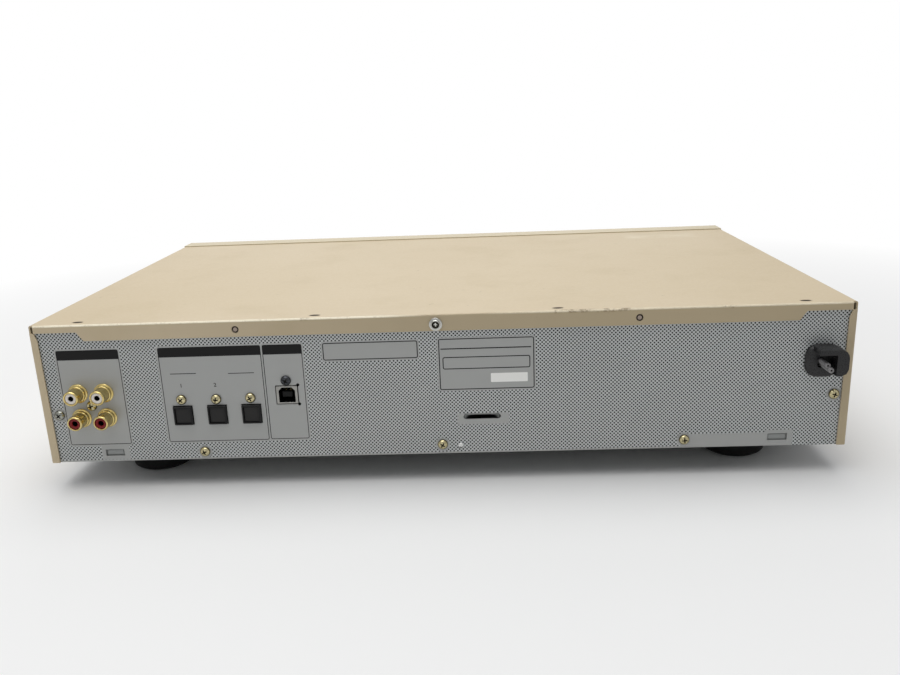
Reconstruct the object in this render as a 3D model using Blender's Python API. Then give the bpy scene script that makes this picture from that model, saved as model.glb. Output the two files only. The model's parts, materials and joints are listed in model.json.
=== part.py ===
"""A full-width minidisc deck: folded steel cabinet, rear connectors and the loading drive inside.

The deck faces -Y and its connectors face +Y. +Z is up, and the origin is on the floor
under the middle of the deck. Heights named here are above the cabinet's underside.
"""

import math

import bmesh
import bpy
from mathutils import Vector

for old in list(bpy.data.objects):
    bpy.data.objects.remove(old, do_unlink=True)

# Cabinet
COVER_WIDTH = 0.430
COVER_HEIGHT = 0.0781
COVER_DEPTH = 0.246
HALF = COVER_WIDTH / 2
SHEET = 0.0008
GAP = 0.0003
MARGIN = 0.001  # how far a cutter reaches past what it cuts
FOLD_RADIUS = 0.0010
FOLD_STEPS = 3
FOOT_HEIGHT = 0.0158
FOOT_RADIUS = 0.0180
FOOT_PIN_RADIUS = 0.0025
FOOT_PIN_RISE = 0.0020
FOOT_DISH = 0.0015
FOOT_INSET_X = 0.048
FOOT_INSET_Y = 0.038
PANEL_DEPTH = 0.018
PANEL_RISE = 0.0006
PANEL_WALL = 0.0030
PANEL_BEVEL = 0.0016
GROOVE = (0.0006, 0.0005)
GROOVE_HEIGHT = 0.0300
KNOB_REACH = 0.0120
BUSH_REACH = 0.0120

# Rear edge of the cover: a stepped flange under the top and a narrow return on each side
FLANGE_DEPTH = 0.0089
FLANGE_END_DEPTH = 0.0041
FLANGE_STEP_X = 0.0254
FLANGE_SLANT = 0.0035
RETURN_WIDTH = 0.0046
RETURN_TAPER = 0.85
CORNER_NOTCH = 0.0025
NOTCH_DROP = 0.0042
PANEL_CORNER = 0.0038
COVER_SLOT_XS = (HALF - 0.0245, HALF * 0.296)
COVER_SLOT_SIZE = (0.0054, 0.0012)
COVER_SLOT_BACK = 0.0056
PIP_X = HALF * 0.488
PIP_DROP = 0.0050
PIP_RADIUS = 0.0015
PIP_CLEARANCE = 0.0004
COVER_SCREW_DROP = 0.0053
SCREW_FLANGE = (0.0031, 0.0006)
SCREW_HEAD = (0.0024, 0.0014)
SCREW_SHANK = (0.0014, 0.0060)
SCREW_CROSS = (0.0034, 0.0007, 0.0011)

# Rear connectors: places across the panel and above the cabinet's underside
RCA_X = HALF - 0.0277
RCA_HEIGHT = 0.0327
RCA_PITCH = 0.0141
RCA_REACH = 0.0095
RCA_SHELL_RADIUS = 0.0042
RCA_SHELL_WALL = 0.0006
RCA_BASE = (0.0053, 0.0012)
RCA_COLLAR = (0.0047, 0.0020)
RCA_BORE = 0.0019
RCA_BLOCK_DEPTH = 0.0120
RCA_BLOCK_EDGE = 0.0070
OPTICAL_X = HALF - 0.0952
OPTICAL_PITCH = 0.01865
OPTICAL_HEIGHT = 0.0257
OPTICAL_FACE = (0.0102, 0.0106)
OPTICAL_REACH = 0.0016
OPTICAL_WALL = 0.0009
OPTICAL_DEPTH = 0.0145
OPTICAL_SHOULDER = 0.0012
OPTICAL_CAVITY = 0.0125
SHUTTER_BACK = 0.0012
SHUTTER_THICKNESS = 0.0008
SHUTTER_PIN = (0.0003, 0.0004)
USB_X = HALF - 0.1339
USB_HEIGHT = 0.0359
USB_FACE = (0.0114, 0.0098)
USB_CLEARANCE = 0.0005
USB_NOTCH = 0.0009
USB_MOUTH = (0.0088, 0.0084)
USB_CHAMFER = 0.0018
USB_DEPTH = 0.0140
USB_BORE_DEPTH = 0.0100
USB_TONGUE = (0.0056, 0.0032)
USB_EAR = (0.0090, 0.0075, 0.0012)
USB_SCREW_RISE = 0.0081
BUSH_X = 0.0158 - HALF
BUSH_HEIGHT = 0.0474
BUSH_FLANGE = (0.0178, 0.0176)
BUSH_FLANGE_DEPTH = 0.0030
BUSH_ROUND = 0.0064
BUSH_NECK = 0.0062
BUSH_BARB = (0.0012, 0.0030, 0.0060)
HOOD_TOP = 0.0085
HOOD_DROP = 0.0053
HOOD_INNER = 0.0055
HOOD_OUTER = 0.0090
HOOD_ROOF = 0.0027
HOOD_WALL = 0.0060
CORE_RADIUS = 0.0015
CORE_OFFSET = 0.00112
CORD_PLACE = (0.0015, -0.0005)
CORD_LEAN = (-0.0025, -0.0012)
CORD_INSIDE = 0.0120
VENT_X = -HALF * 0.1056
VENT_HEIGHT = 0.0207
VENT_SIZE = (0.0175, 0.0026)
WINDOW_X = HALF - 0.0358
WINDOW_HEIGHT = 0.0050
WINDOW_SIZE = (0.0104, 0.0038)
TAB_SIZE = (0.0086, 0.0024)
TAB_RECESS = 0.0007

# Front controls: places across the panel and above the cabinet's underside
SLOT_X = -HALF * 0.3907
SLOT_HEIGHT = COVER_HEIGHT - 0.0221
MOUTH = (0.0750, 0.0084)
BEZEL_WALL = 0.0020
BEZEL_LIP = 0.0020
BEZEL_DEPTH = 0.0160
BEZEL_PROUD = 0.0009
FLAP_BACK = 0.0060
FLAP_THICKNESS = 0.0010
FLAP_PIN = (0.0004, 0.0010)
WINDOW_GLASS = (COVER_WIDTH * 0.2907, COVER_HEIGHT * 0.4353)
WINDOW_GLASS_X = HALF * 0.1744
WINDOW_GLASS_HEIGHT = COVER_HEIGHT - 0.0256
WINDOW_STEP = 0.0020
GLASS_THICKNESS = 0.0026
TUBE_BORDER = (0.0060, 0.0040)
BUTTON_PROUD = 0.0016
BUTTON_BEVEL = 0.0005
BUTTON_SKIRT = 0.0012
BUTTON_STEM = 0.0040
BUTTON_TRAVEL = 0.0008
SWITCH = (0.0060, 0.0040)
BOARD_BACK = 0.0120
BOARD = 0.0016
FRONT_BOARD_EDGE = 0.0060
FRONT_BOARD_FOOT = 0.0070
FRONT_BOARD_HEAD = COVER_HEIGHT - 0.0071
TRANSPORT_HEIGHT = COVER_HEIGHT * 0.2433
TRANSPORT_PITCH = WINDOW_GLASS[0] * 0.1696
TRANSPORT_BUTTON = (TRANSPORT_PITCH - 0.0028, 0.0080)
POWER_X = 0.0310 - HALF
POWER_HEIGHT = COVER_HEIGHT - 0.0141
POWER_BUTTON = (0.0180, 0.0070)
EJECT_X = SLOT_X + 0.0310
EJECT_HEIGHT = SLOT_HEIGHT - 0.0210
EJECT_BUTTON = (0.0130, 0.0060)
JOG_X = HALF - 0.0650
JOG_HEIGHT = COVER_HEIGHT * 0.5762
JOG_RADIUS = 0.0180
JOG_WALL = 0.0018
JOG_DISH = 0.0006
JOG_SKIN = 0.0020
JOG_TRAVEL = 0.0006
JOG_ENCODER = (0.0140, 0.0130)
SHAFT_RADIUS = 0.0030
SHAFT_BUSH = 0.0014
SHAFT_STOP = 0.0018
LEVEL_X = 0.0590 - HALF
LEVEL_HEIGHT = 0.0190
LEVEL_RADIUS = 0.0075
LEVEL_REACH = 0.0095
LEVEL_SHAFT = 0.0020
LEVEL_POT = (0.0100, 0.0110)
LEVEL_POINTER = 0.0010
PHONES_X = 0.0270 - HALF
PHONES_HEIGHT = 0.0190
PHONES_BORE = 0.0032
PHONES_WALL = 0.0018
PHONES_LIP = 0.0014
PHONES_PROUD = 0.0012
PHONES_BODY = 0.0130
PHONES_DEPTH = 0.0280
PILLAR_RADIUS = 0.0030
PILLAR_INSET = 0.0130
PILLAR_INNER = HALF * 0.558
PILLAR_LOW = 0.0140
PILLAR_MIDDLE = 0.0440
PILLAR_HIGH = COVER_HEIGHT - 0.0121

# Disc drive: sizes of the cartridge and of what loads and reads it
CARTRIDGE = (0.0720, 0.0680, 0.0050)
CARTRIDGE_PLAY = 0.0004
HOLDER_BACK = 0.0190
HOLDER_DROP = 0.0050
LOAD_TRAVEL = 0.0120
DRIVE_WALL = 0.0012
DRIVE_LENGTH = 0.0830
DRIVE_DROP = 0.0300
DRIVE_RISE = 0.0045
DRIVE_LEG = (0.0030, 0.0040, 0.0060)
ROD_BOSS = (0.0060, 0.0035, 0.0030)
PIN_RADIUS = 0.0011
SPINDLE_BACK = 0.0350
SPINDLE_RADIUS = 0.0090
SPINDLE_DROP = 0.0200
SPINDLE_SHAFT_DROP = 0.0100
TURNTABLE_DROP = 0.0110
TURNTABLE_RADIUS = 0.0080
TURNTABLE_THICKNESS = 0.0020
TURNTABLE_NECK = 0.0030
TURNTABLE_NOSE = (0.0045, 0.0034, 0.0028)
MOTOR_SHAFT = 0.0010
CAM_WIDTH = 0.0022
CAM_RISE = 0.0035
RACK_DROP = 0.0150
LOAD_GEAR_LEAD = 0.0020
LOAD_MOTOR = (0.0062, 0.0240, 0.0030)
LENS_PLACE = 0.0046
LENS_RADII = (0.0042, 0.0036, 0.0022)
SLED_LEAD = 0.0105
SLED_TRAVEL = 0.0170
SLED_LENGTH = 0.0160
SLED_EDGE = 0.0040
SLED_SHOULDER = 0.0030
SLED_CROWN = (0.0135, 0.0120)
SLED_DROP = 0.0210
SLED_RISE = 0.0090
SLED_RACK = (0.0110, 0.0036)
SLED_TAIL = (0.0180, 0.0030)
RACK_BACK = 0.0012
ROD_RADIUS = 0.0015
ROD_SPACING = 0.0180
ROD_DROP = 0.0180
ROD_OVERRUN = 0.0050
SLED_MOTOR_RADIUS = 0.0060
SLED_GEAR_BACK = 0.0215
SLED_GEAR_WIDTH = 0.0040
GEAR_MODULE = 0.0008
GEAR_TEETH = 14
GEAR_ADDENDUM = 0.0007
GEAR_DEDENDUM = 0.0010
GEAR_BACKLASH = 0.0006
PRESSURE_ANGLE = math.radians(20)
HEAD_BACK = 0.0275
HEAD_RISE = 0.0072
HEAD_ARM = (0.0090, 0.0010)
HEAD_SHOE = 0.0060
HEAD_CLEARANCE = 0.0004
HEAD_HINGE_RADIUS = 0.0010
HEAD_BARREL = (0.0018, 0.0065)
HEAD_PIN = 0.0088
HEAD_EARS = (0.0068, 0.0090)
HEAD_EAR_SIZE = (0.0016, 0.0022)
DISC_WINDOW = (0.0480, 0.0180, 0.0030)
HEAD_WINDOW = (0.0220, 0.0014)

# Inside the cabinet
PAN_LIP = 0.0120
STANDOFF = 0.0100
STANDOFF_RADIUS = 0.0030
STANDOFF_INSET = 0.0080
PAN_SLOT = (0.0030, 0.0300)
PAN_SLOT_PITCH = 0.0090
PAN_SLOT_FRONT = 0.0150
PAN_SLOTS = 6
MAIN_BOARD_SIZE = (COVER_WIDTH * 0.5349, 0.1020)
MAIN_BOARD_EDGE = 0.0060
MAIN_BOARD_BACK = 0.0030
CHIP_SIZES = (0.0180, 0.0140, 0.0120, 0.0080)
CHIP_RISE = 0.0022
CHIP_PLACES = ((0.54, 0.39), (0.33, 0.49), (0.72, 0.29), (0.46, 0.74))
TRANSFORMER = (0.0560, 0.0460, 0.0460)
TRANSFORMER_X = 0.0650 - HALF
TRANSFORMER_BACK = 0.0627
TRANSFORMER_FOOT = (0.0120, 0.0015)
CAPACITOR = (0.0085, 0.0300, 0.0010)
CAPACITOR_X = 0.0180
SINK = (0.0400, 0.0090, 0.0320)
SINK_X = 0.0500
SINK_PLATE = 0.0030
SINK_FINS = 6
SINK_FIN = 0.0012
SINK_PITCH = SINK[0] * 0.18
POWER_PARTS_FRONT = 0.0200

# What follows from these
DEPTH = KNOB_REACH + PANEL_DEPTH + COVER_DEPTH - SHEET + BUSH_REACH
FRONT_Y = -DEPTH / 2 + KNOB_REACH
WALL_BACK_Y = FRONT_Y + PANEL_WALL
COVER_FRONT_Y = FRONT_Y + PANEL_DEPTH + GAP
REAR_Y = COVER_FRONT_Y + COVER_DEPTH
MIDDLE_Y = (COVER_FRONT_Y + REAR_Y) / 2
PANEL_FACE_Y = REAR_Y - SHEET - GAP
PANEL_BACK_Y = PANEL_FACE_Y - SHEET
SOCKET_Y = PANEL_BACK_Y - GAP
THROUGH_PANEL = (PANEL_BACK_Y - MARGIN, PANEL_FACE_Y + MARGIN)
THROUGH_FRONT = (FRONT_Y - MARGIN, WALL_BACK_Y + MARGIN)
OPTICAL_MOUTH_Y = PANEL_FACE_Y + OPTICAL_REACH
CAVITY = (OPTICAL_FACE[0] - 2 * OPTICAL_WALL, OPTICAL_FACE[1] - 2 * OPTICAL_WALL)
BASE_Z = FOOT_HEIGHT
TOP_Z = BASE_Z + COVER_HEIGHT
PAN_TOP_Z = BASE_Z + SHEET
SCREW_Z = TOP_Z - COVER_SCREW_DROP
BOARD_Y = FRONT_Y + BOARD_BACK
BOARD_Z = PAN_TOP_Z + STANDOFF
BOARD_TOP_Z = BOARD_Z + BOARD
SLOT_Z = BASE_Z + SLOT_HEIGHT
MAIN_BOARD_X = HALF - SHEET - MAIN_BOARD_EDGE - MAIN_BOARD_SIZE[0] / 2
MAIN_BOARD_REAR = PANEL_BACK_Y - MAIN_BOARD_BACK
TRANSFORMER_Y = REAR_Y - TRANSFORMER_BACK
PITCH_RADIUS = GEAR_MODULE * GEAR_TEETH / 2
GEAR_PITCH = math.pi * GEAR_MODULE
TOOTH = GEAR_PITCH / 2 - GEAR_BACKLASH / 2
HOLDER_Y = FRONT_Y + HOLDER_BACK
HOLDER_HALF = CARTRIDGE[0] / 2 + CARTRIDGE_PLAY + SHEET
CAVITY_HALF = CARTRIDGE[2] / 2 + GAP
HOLDER_TOP = SLOT_Z + CAVITY_HALF + SHEET
HOLDER_LENGTH = CARTRIDGE[1] + 3 * CARTRIDGE_PLAY + SHEET
DRIVE_INNER = HOLDER_HALF + GAP
DRIVE_OUTER = DRIVE_INNER + DRIVE_WALL
DRIVE_BOTTOM = SLOT_Z - DRIVE_DROP
DRIVE_FLOOR = DRIVE_BOTTOM + DRIVE_WALL
CAM_X = SLOT_X + DRIVE_OUTER + GAP
CAM_THROUGH = (CAM_X - MARGIN, CAM_X + CAM_WIDTH + MARGIN)
SPINDLE_Y = HOLDER_Y + SPINDLE_BACK
LOAD_SHAFT_Z = SLOT_Z - RACK_DROP - PITCH_RADIUS
LOAD_GEAR_Y = SPINDLE_Y - LOAD_GEAR_LEAD
SLED_Y = SPINDLE_Y + SLED_LEAD
SLED_FLOOR = SLOT_Z - SLED_DROP
SLED_TOP = SLED_FLOOR + SLED_RISE
ROD_Z = SLOT_Z - ROD_DROP
ROD_START = SLED_Y - ROD_OVERRUN
ROD_END = SLED_Y + SLED_LENGTH + SLED_TRAVEL + ROD_OVERRUN
SLED_SIDE = ROD_SPACING + SLED_EDGE
SLED_PITCH_X = SLOT_X - SLED_SIDE - RACK_BACK - GEAR_DEDENDUM
SLED_GEAR_X = SLED_PITCH_X - PITCH_RADIUS
SLED_GEAR_Y = SLED_Y + SLED_GEAR_BACK
HEAD_HINGE_Y = SLED_Y + HEAD_BACK
HEAD_HINGE_Z = SLOT_Z + HEAD_RISE


def height(above_base):
    """World z of a height above the cabinet's underside."""
    return BASE_Z + above_base


def grown(size, more):
    """A size with the same amount added to each of its lengths."""
    return tuple(length + more for length in size)


def block(low, high, bevel=0.0, segments=1):
    """A box between two corners, with all its edges bevelled when a width is given."""
    mesh = bmesh.new()
    bmesh.ops.create_cube(mesh, size=1.0)
    low, high = Vector(low), Vector(high)
    size = high - low
    for vertex in mesh.verts:
        vertex.co = low + Vector((size[i] * (vertex.co[i] + 0.5) for i in range(3)))
    if bevel:
        edges = mesh.edges[:]
        bmesh.ops.bevel(mesh, geom=edges, offset=bevel, segments=segments, profile=0.5, affect="EDGES")
    return mesh


def around(centre, size, y_low, y_high, bevel=0.0, segments=1):
    """A box given by its middle and size across the deck and upwards, and its two ends in y."""
    x, z = centre
    low = (x - size[0] / 2, y_low, z - size[1] / 2)
    high = (x + size[0] / 2, y_high, z + size[1] / 2)
    return block(low, high, bevel, segments)


def soften(mesh, y, width, segments):
    """Round the edges that lie in one plane of y."""
    edges = [edge for edge in mesh.edges if all(abs(v.co.y - y) < 1e-6 for v in edge.verts)]
    bmesh.ops.bevel(mesh, geom=edges, offset=width, segments=segments, profile=0.5, affect="EDGES")
    return mesh


def prism(outline, axis, start, end):
    """A flat outline carried along X, Y or Z; its points give the other two coordinates in order."""
    if axis == "X":
        return lofted([[(start, a, b) for a, b in outline], [(end, a, b) for a, b in outline]])
    if axis == "Y":
        return lofted([[(a, start, b) for a, b in outline], [(a, end, b) for a, b in outline]])
    return lofted([[(a, b, start) for a, b in outline], [(a, b, end) for a, b in outline]])


def lofted(sections):
    """A solid through sections that have the same number of points."""
    mesh = bmesh.new()
    rings = [[mesh.verts.new(point) for point in section] for section in sections]
    mesh.faces.new(rings[0])
    mesh.faces.new(rings[-1])
    for before, after in zip(rings, rings[1:]):
        for i in range(len(before)):
            following = (i + 1) % len(before)
            mesh.faces.new((before[i], before[following], after[following], after[i]))
    bmesh.ops.recalc_face_normals(mesh, faces=mesh.faces[:])
    return mesh


def turned(profile, centre, axis, steps=24):
    """A closed profile of (distance along the axis, radius) points, spun about the axis."""
    along = Vector((axis == "X", axis == "Y", axis == "Z"))
    out = Vector((0, 0, 1)) if axis != "Z" else Vector((1, 0, 0))
    centre = Vector(centre)
    mesh = bmesh.new()
    points = [mesh.verts.new(centre + along * a + out * r) for a, r in profile]
    edges = []
    for i, point in enumerate(points):
        following = (i + 1) % len(points)
        if profile[i][1] or profile[following][1]:
            edges.append(mesh.edges.new((point, points[following])))
    bmesh.ops.spin(mesh, geom=points + edges, cent=centre, axis=along, angle=2 * math.pi, steps=steps)
    bmesh.ops.remove_doubles(mesh, verts=mesh.verts[:], dist=1e-6)
    bmesh.ops.dissolve_degenerate(mesh, edges=mesh.edges[:], dist=1e-7)
    bmesh.ops.recalc_face_normals(mesh, faces=mesh.faces[:])
    return mesh


def rod(centre, axis, start, end, radius, steps=16):
    """A plain round bar along an axis through a centre."""
    return turned([(start, 0.0), (start, radius), (end, radius), (end, 0.0)], centre, axis, steps)


def capsule(start, end, width, steps=5):
    """Outline of a slot with round ends from one point to another."""
    (x0, y0), (x1, y1) = start, end
    heading = math.atan2(y1 - y0, x1 - x0)
    points = []
    for (x, y), turn in (((x1, y1), -math.pi / 2), ((x0, y0), math.pi / 2)):
        for i in range(steps + 1):
            angle = heading + turn + math.pi * i / steps
            points.append((x + width / 2 * math.cos(angle), y + width / 2 * math.sin(angle)))
    return points


def rounded(centre, size, radii, steps=4):
    """Outline of a rectangle; the radii run from its right top corner over the left to the right bottom."""
    points = []
    signs = ((1, 1), (-1, 1), (-1, -1), (1, -1))
    for quarter, ((sx, sy), radius) in enumerate(zip(signs, radii)):
        middle = (centre[0] + sx * (size[0] / 2 - radius), centre[1] + sy * (size[1] / 2 - radius))
        for i in range(steps + 1 if radius else 1):
            angle = math.pi / 2 * (quarter + i / steps)
            points.append((middle[0] + radius * math.cos(angle), middle[1] + radius * math.sin(angle)))
    return points


def merged(meshes):
    """Several separate solids as one mesh, for a tool with many bodies."""
    result = bmesh.new()
    for mesh in meshes:
        data = bpy.data.meshes.new("piece")
        mesh.to_mesh(data)
        mesh.free()
        result.from_mesh(data)
        bpy.data.meshes.remove(data)
    return result


def finish(name, colour, roughness, metallic=0.0):
    """A plain material with the piece's colour (linear), roughness and metallic value."""
    made = bpy.data.materials.new(name)
    made.use_nodes = True
    shader = made.node_tree.nodes["Principled BSDF"]
    shader.inputs["Base Color"].default_value = (*colour, 1.0)
    shader.inputs["Roughness"].default_value = roughness
    shader.inputs["Metallic"].default_value = metallic
    return made


def join(mesh):
    """A solid that a part is joined with."""
    return "UNION", mesh


def cut(mesh):
    """A solid that a part loses."""
    return "DIFFERENCE", mesh


def part(name, material, base, *steps, origin=(0, 0, 0)):
    """One named sub-part: a base solid, then the solids joined to it or cut out of it, in order."""
    mesh = bpy.data.meshes.new(name)
    bmesh.ops.translate(base, vec=-Vector(origin), verts=base.verts[:])
    base.to_mesh(mesh)
    base.free()
    mesh.materials.append(material)
    body = bpy.data.objects.new(name, mesh)
    body.location = origin
    bpy.context.collection.objects.link(body)
    for number, (operation, tool) in enumerate(steps, 1):
        tool_mesh = bpy.data.meshes.new(f"{name}_{operation.lower()}_{number}")
        tool.to_mesh(tool_mesh)
        tool.free()
        helper = bpy.data.objects.new(tool_mesh.name, tool_mesh)
        helper.hide_render = True
        helper.display_type = "WIRE"
        bpy.context.collection.objects.link(helper)
        change = body.modifiers.new(operation.title(), "BOOLEAN")
        change.operation = operation
        change.object = helper
    mesh.shade_smooth()
    mesh.set_sharp_from_angle(angle=math.radians(32))
    return body


# Materials, one for each finish that the parts have
CHAMPAGNE = finish("champagne_paint", (0.68, 0.60, 0.45), 0.45)
ZINC = finish("zinc_plated_steel", (0.55, 0.56, 0.57), 0.35, 0.9)
PRINTED_STEEL = finish("printed_steel", (0.30, 0.33, 0.33), 0.45, 0.3)
GOLD = finish("gold_plating", (0.83, 0.60, 0.25), 0.25, 1.0)
NICKEL = finish("nickel_plating", (0.66, 0.65, 0.62), 0.25, 1.0)
BLACK_PLASTIC = finish("black_moulded_plastic", (0.012, 0.012, 0.013), 0.5)
GREY_PLASTIC = finish("grey_moulded_plastic", (0.14, 0.14, 0.14), 0.5)
SMOKED = finish("smoked_acrylic", (0.02, 0.018, 0.016), 0.08)
GLASS = finish("display_glass", (0.05, 0.08, 0.08), 0.1)
CIRCUIT = finish("circuit_board", (0.06, 0.14, 0.05), 0.5)
RUBBER = finish("foot_rubber", (0.02, 0.02, 0.02), 0.8)
CORD_GREY = finish("cord_grey", (0.16, 0.15, 0.15), 0.6)
STEEL = finish("bright_steel", (0.6, 0.6, 0.6), 0.2, 1.0)
IRON = finish("transformer_iron", (0.10, 0.10, 0.11), 0.45, 0.6)
ALUMINIUM = finish("aluminium", (0.7, 0.7, 0.7), 0.35, 1.0)
WHITE_PLASTIC = finish("white_acetal", (0.75, 0.74, 0.70), 0.4)


def make_cover():
    """The lid: one sheet folded down at both sides, with a stepped flange and returns at the rear."""
    mesh = bmesh.new()
    made = {}

    def facet(points):
        corners = []
        for point in points:
            key = tuple(round(value, 7) for value in point)
            if key not in made:
                made[key] = mesh.verts.new(point)
            corners.append(made[key])
        mesh.faces.new(corners)

    radius = FOLD_RADIUS
    turns = [math.pi / 2 * i / FOLD_STEPS for i in range(FOLD_STEPS + 1)]
    arc = [(radius * math.sin(turn), radius * math.cos(turn)) for turn in turns]
    bends = list(zip(arc, arc[1:]))
    back = REAR_Y - radius
    upper = TOP_Z - radius
    flat = HALF - radius
    inner = HALF - CORNER_NOTCH
    step = HALF - FLANGE_STEP_X
    notch_z = TOP_Z - NOTCH_DROP
    right = [(step - FLANGE_SLANT, FLANGE_DEPTH), (step, FLANGE_END_DEPTH), (inner, FLANGE_END_DEPTH)]
    stations = [(-x, drop) for x, drop in reversed(right)] + right
    rear_points = [(x, back, TOP_Z) for x, _ in reversed(stations)]
    front = [(-flat, COVER_FRONT_Y, TOP_Z), (flat, COVER_FRONT_Y, TOP_Z)]
    facet(front + [(flat, back, TOP_Z)] + rear_points + [(-flat, back, TOP_Z)])
    for side in (-1, 1):
        for (out0, up0), (out1, up1) in bends:
            x0, x1 = side * (flat + out0), side * (flat + out1)
            z0, z1 = upper + up0, upper + up1
            facet([(x0, COVER_FRONT_Y, z0), (x1, COVER_FRONT_Y, z1), (x1, back, z1), (x0, back, z0)])
            x0, x1 = side * (flat + up0), side * (flat + up1)
            y0, y1 = back + out0, back + out1
            facet([(x0, y0, BASE_Z), (x1, y1, BASE_Z), (x1, y1, notch_z), (x0, y0, notch_z)])
        wall = [(COVER_FRONT_Y, BASE_Z), (COVER_FRONT_Y, upper), (back, upper)]
        wall += [(back, notch_z), (back, BASE_Z)]
        facet([(side * HALF, y, z) for y, z in wall])
        strip = [(flat, BASE_Z), (flat, notch_z), (inner, notch_z)]
        strip.append((HALF - RETURN_WIDTH * RETURN_TAPER, notch_z - NOTCH_DROP))
        strip.append((HALF - RETURN_WIDTH, BASE_Z))
        facet([(side * x, REAR_Y, z) for x, z in strip])
    for (x0, drop0), (x1, drop1) in zip(stations, stations[1:]):
        for (out0, up0), (out1, up1) in bends:
            y0, y1 = back + out0, back + out1
            z0, z1 = upper + up0, upper + up1
            facet([(x0, y0, z0), (x1, y0, z0), (x1, y1, z1), (x0, y1, z1)])
        low = [(x1, REAR_Y, TOP_Z - drop1), (x0, REAR_Y, TOP_Z - drop0)]
        facet([(x0, REAR_Y, upper), (x1, REAR_Y, upper)] + low)
    bmesh.ops.recalc_face_normals(mesh, faces=mesh.faces[:])
    if max(mesh.faces, key=lambda face: face.calc_area()).normal.z < 0:
        bmesh.ops.reverse_faces(mesh, faces=mesh.faces[:])
    openings = [rod((0, REAR_Y, SCREW_Z), "Y", -2 * SHEET, SHEET, SCREW_SHANK[0] + GAP)]
    across, deep = COVER_SLOT_SIZE
    slot_y = REAR_Y - COVER_SLOT_BACK
    for side in (-1, 1):
        for place in COVER_SLOT_XS:
            x = side * place
            low = (x - across / 2, slot_y - deep / 2, TOP_Z - 2 * SHEET)
            high = (x + across / 2, slot_y + deep / 2, TOP_Z + SHEET)
            openings.append(block(low, high))
        centre = (side * PIP_X, REAR_Y, TOP_Z - PIP_DROP)
        openings.append(rod(centre, "Y", -2 * SHEET, SHEET, PIP_RADIUS + PIP_CLEARANCE))
    cover = part("top_cover", CHAMPAGNE, mesh, cut(merged(openings)))
    wall = cover.modifiers.new("Sheet", "SOLIDIFY")
    wall.thickness = SHEET
    wall.offset = -1.0
    wall.use_even_offset = True
    cover.modifiers.move(1, 0)


def board_corners():
    """Where the main board stands on the pan."""
    half = MAIN_BOARD_SIZE[0] / 2 - STANDOFF_INSET
    front = MAIN_BOARD_REAR - MAIN_BOARD_SIZE[1] + STANDOFF_INSET
    rear = MAIN_BOARD_REAR - 2.5 * STANDOFF_INSET
    return [(MAIN_BOARD_X + sign * half, y) for sign in (-1, 1) for y in (front, rear)]


def foot_places():
    """Where the four feet stand, front pair first."""
    across = HALF - FOOT_INSET_X
    ys = (COVER_FRONT_Y + FOOT_INSET_Y, REAR_Y - FOOT_INSET_Y)
    return [(x, y) for y in ys for x in (-across, across)]


def make_pan():
    """The bottom pan: a shallow steel tray with standoffs, cooling slots and two tabs at the rear."""
    side = HALF - SHEET - GAP
    front = COVER_FRONT_Y + GAP
    rear = PANEL_BACK_Y - GAP
    tray = block((-side, front, BASE_Z), (side, rear, BASE_Z + PAN_LIP))
    low = (-side + SHEET, front + SHEET, PAN_TOP_Z)
    high = (side - SHEET, rear - SHEET, BASE_Z + 2 * PAN_LIP)
    inside = block(low, high)
    adds = []
    for x, y in board_corners():
        adds.append(rod((x, y, 0), "Z", PAN_TOP_Z - SHEET / 2, BOARD_Z - GAP, STANDOFF_RADIUS, 12))
    for sign in (-1, 1):
        centre = (sign * WINDOW_X, height(WINDOW_HEIGHT))
        adds.append(around(centre, TAB_SIZE, rear - SHEET / 2, PANEL_FACE_Y - TAB_RECESS))
    through = (BASE_Z - SHEET, PAN_TOP_Z + SHEET)
    wide, deep = PAN_SLOT
    slot_y = MIDDLE_Y - PAN_SLOT_FRONT
    holes = []
    for group_x in (TRANSFORMER_X, MAIN_BOARD_X):
        for i in range(PAN_SLOTS):
            x = group_x + (i - (PAN_SLOTS - 1) / 2) * PAN_SLOT_PITCH
            low = (x - wide / 2, slot_y - deep / 2, through[0])
            high = (x + wide / 2, slot_y + deep / 2, through[1])
            holes.append(block(low, high))
    for x, y in foot_places():
        holes.append(rod((x, y, 0), "Z", *through, FOOT_PIN_RADIUS + GAP, 12))
    part("chassis_pan", ZINC, tray, cut(inside), cut(merged(holes)), join(merged(adds)))


def make_feet():
    """Four moulded feet with a raised rim underneath and a pin up through the pan."""
    pin_top = PAN_TOP_Z + FOOT_PIN_RISE
    for number, (x, y) in enumerate(foot_places(), 1):
        profile = [
            (FOOT_DISH, 0.0),
            (FOOT_DISH, FOOT_RADIUS * 0.55),
            (0.0, FOOT_RADIUS * 0.60),
            (0.0, FOOT_RADIUS * 0.84),
            (0.0010, FOOT_RADIUS * 0.90),
            (FOOT_HEIGHT * 0.75, FOOT_RADIUS),
            (BASE_Z - GAP, FOOT_RADIUS),
            (BASE_Z - GAP, FOOT_PIN_RADIUS),
            (pin_top, FOOT_PIN_RADIUS),
            (pin_top, 0.0),
        ]
        part(f"foot_{number}", RUBBER, turned(profile, (x, y, 0), "Z", 20))


def rca_places():
    """Middles of the four analogue sockets: x and z."""
    half = RCA_PITCH / 2
    return [(RCA_X + sx * half, height(RCA_HEIGHT) + sz * half) for sz in (1, -1) for sx in (1, -1)]


def optical_places():
    """Middles of the three optical sockets: x and z."""
    return [(OPTICAL_X + i * OPTICAL_PITCH, height(OPTICAL_HEIGHT)) for i in (1, 0, -1)]


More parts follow.
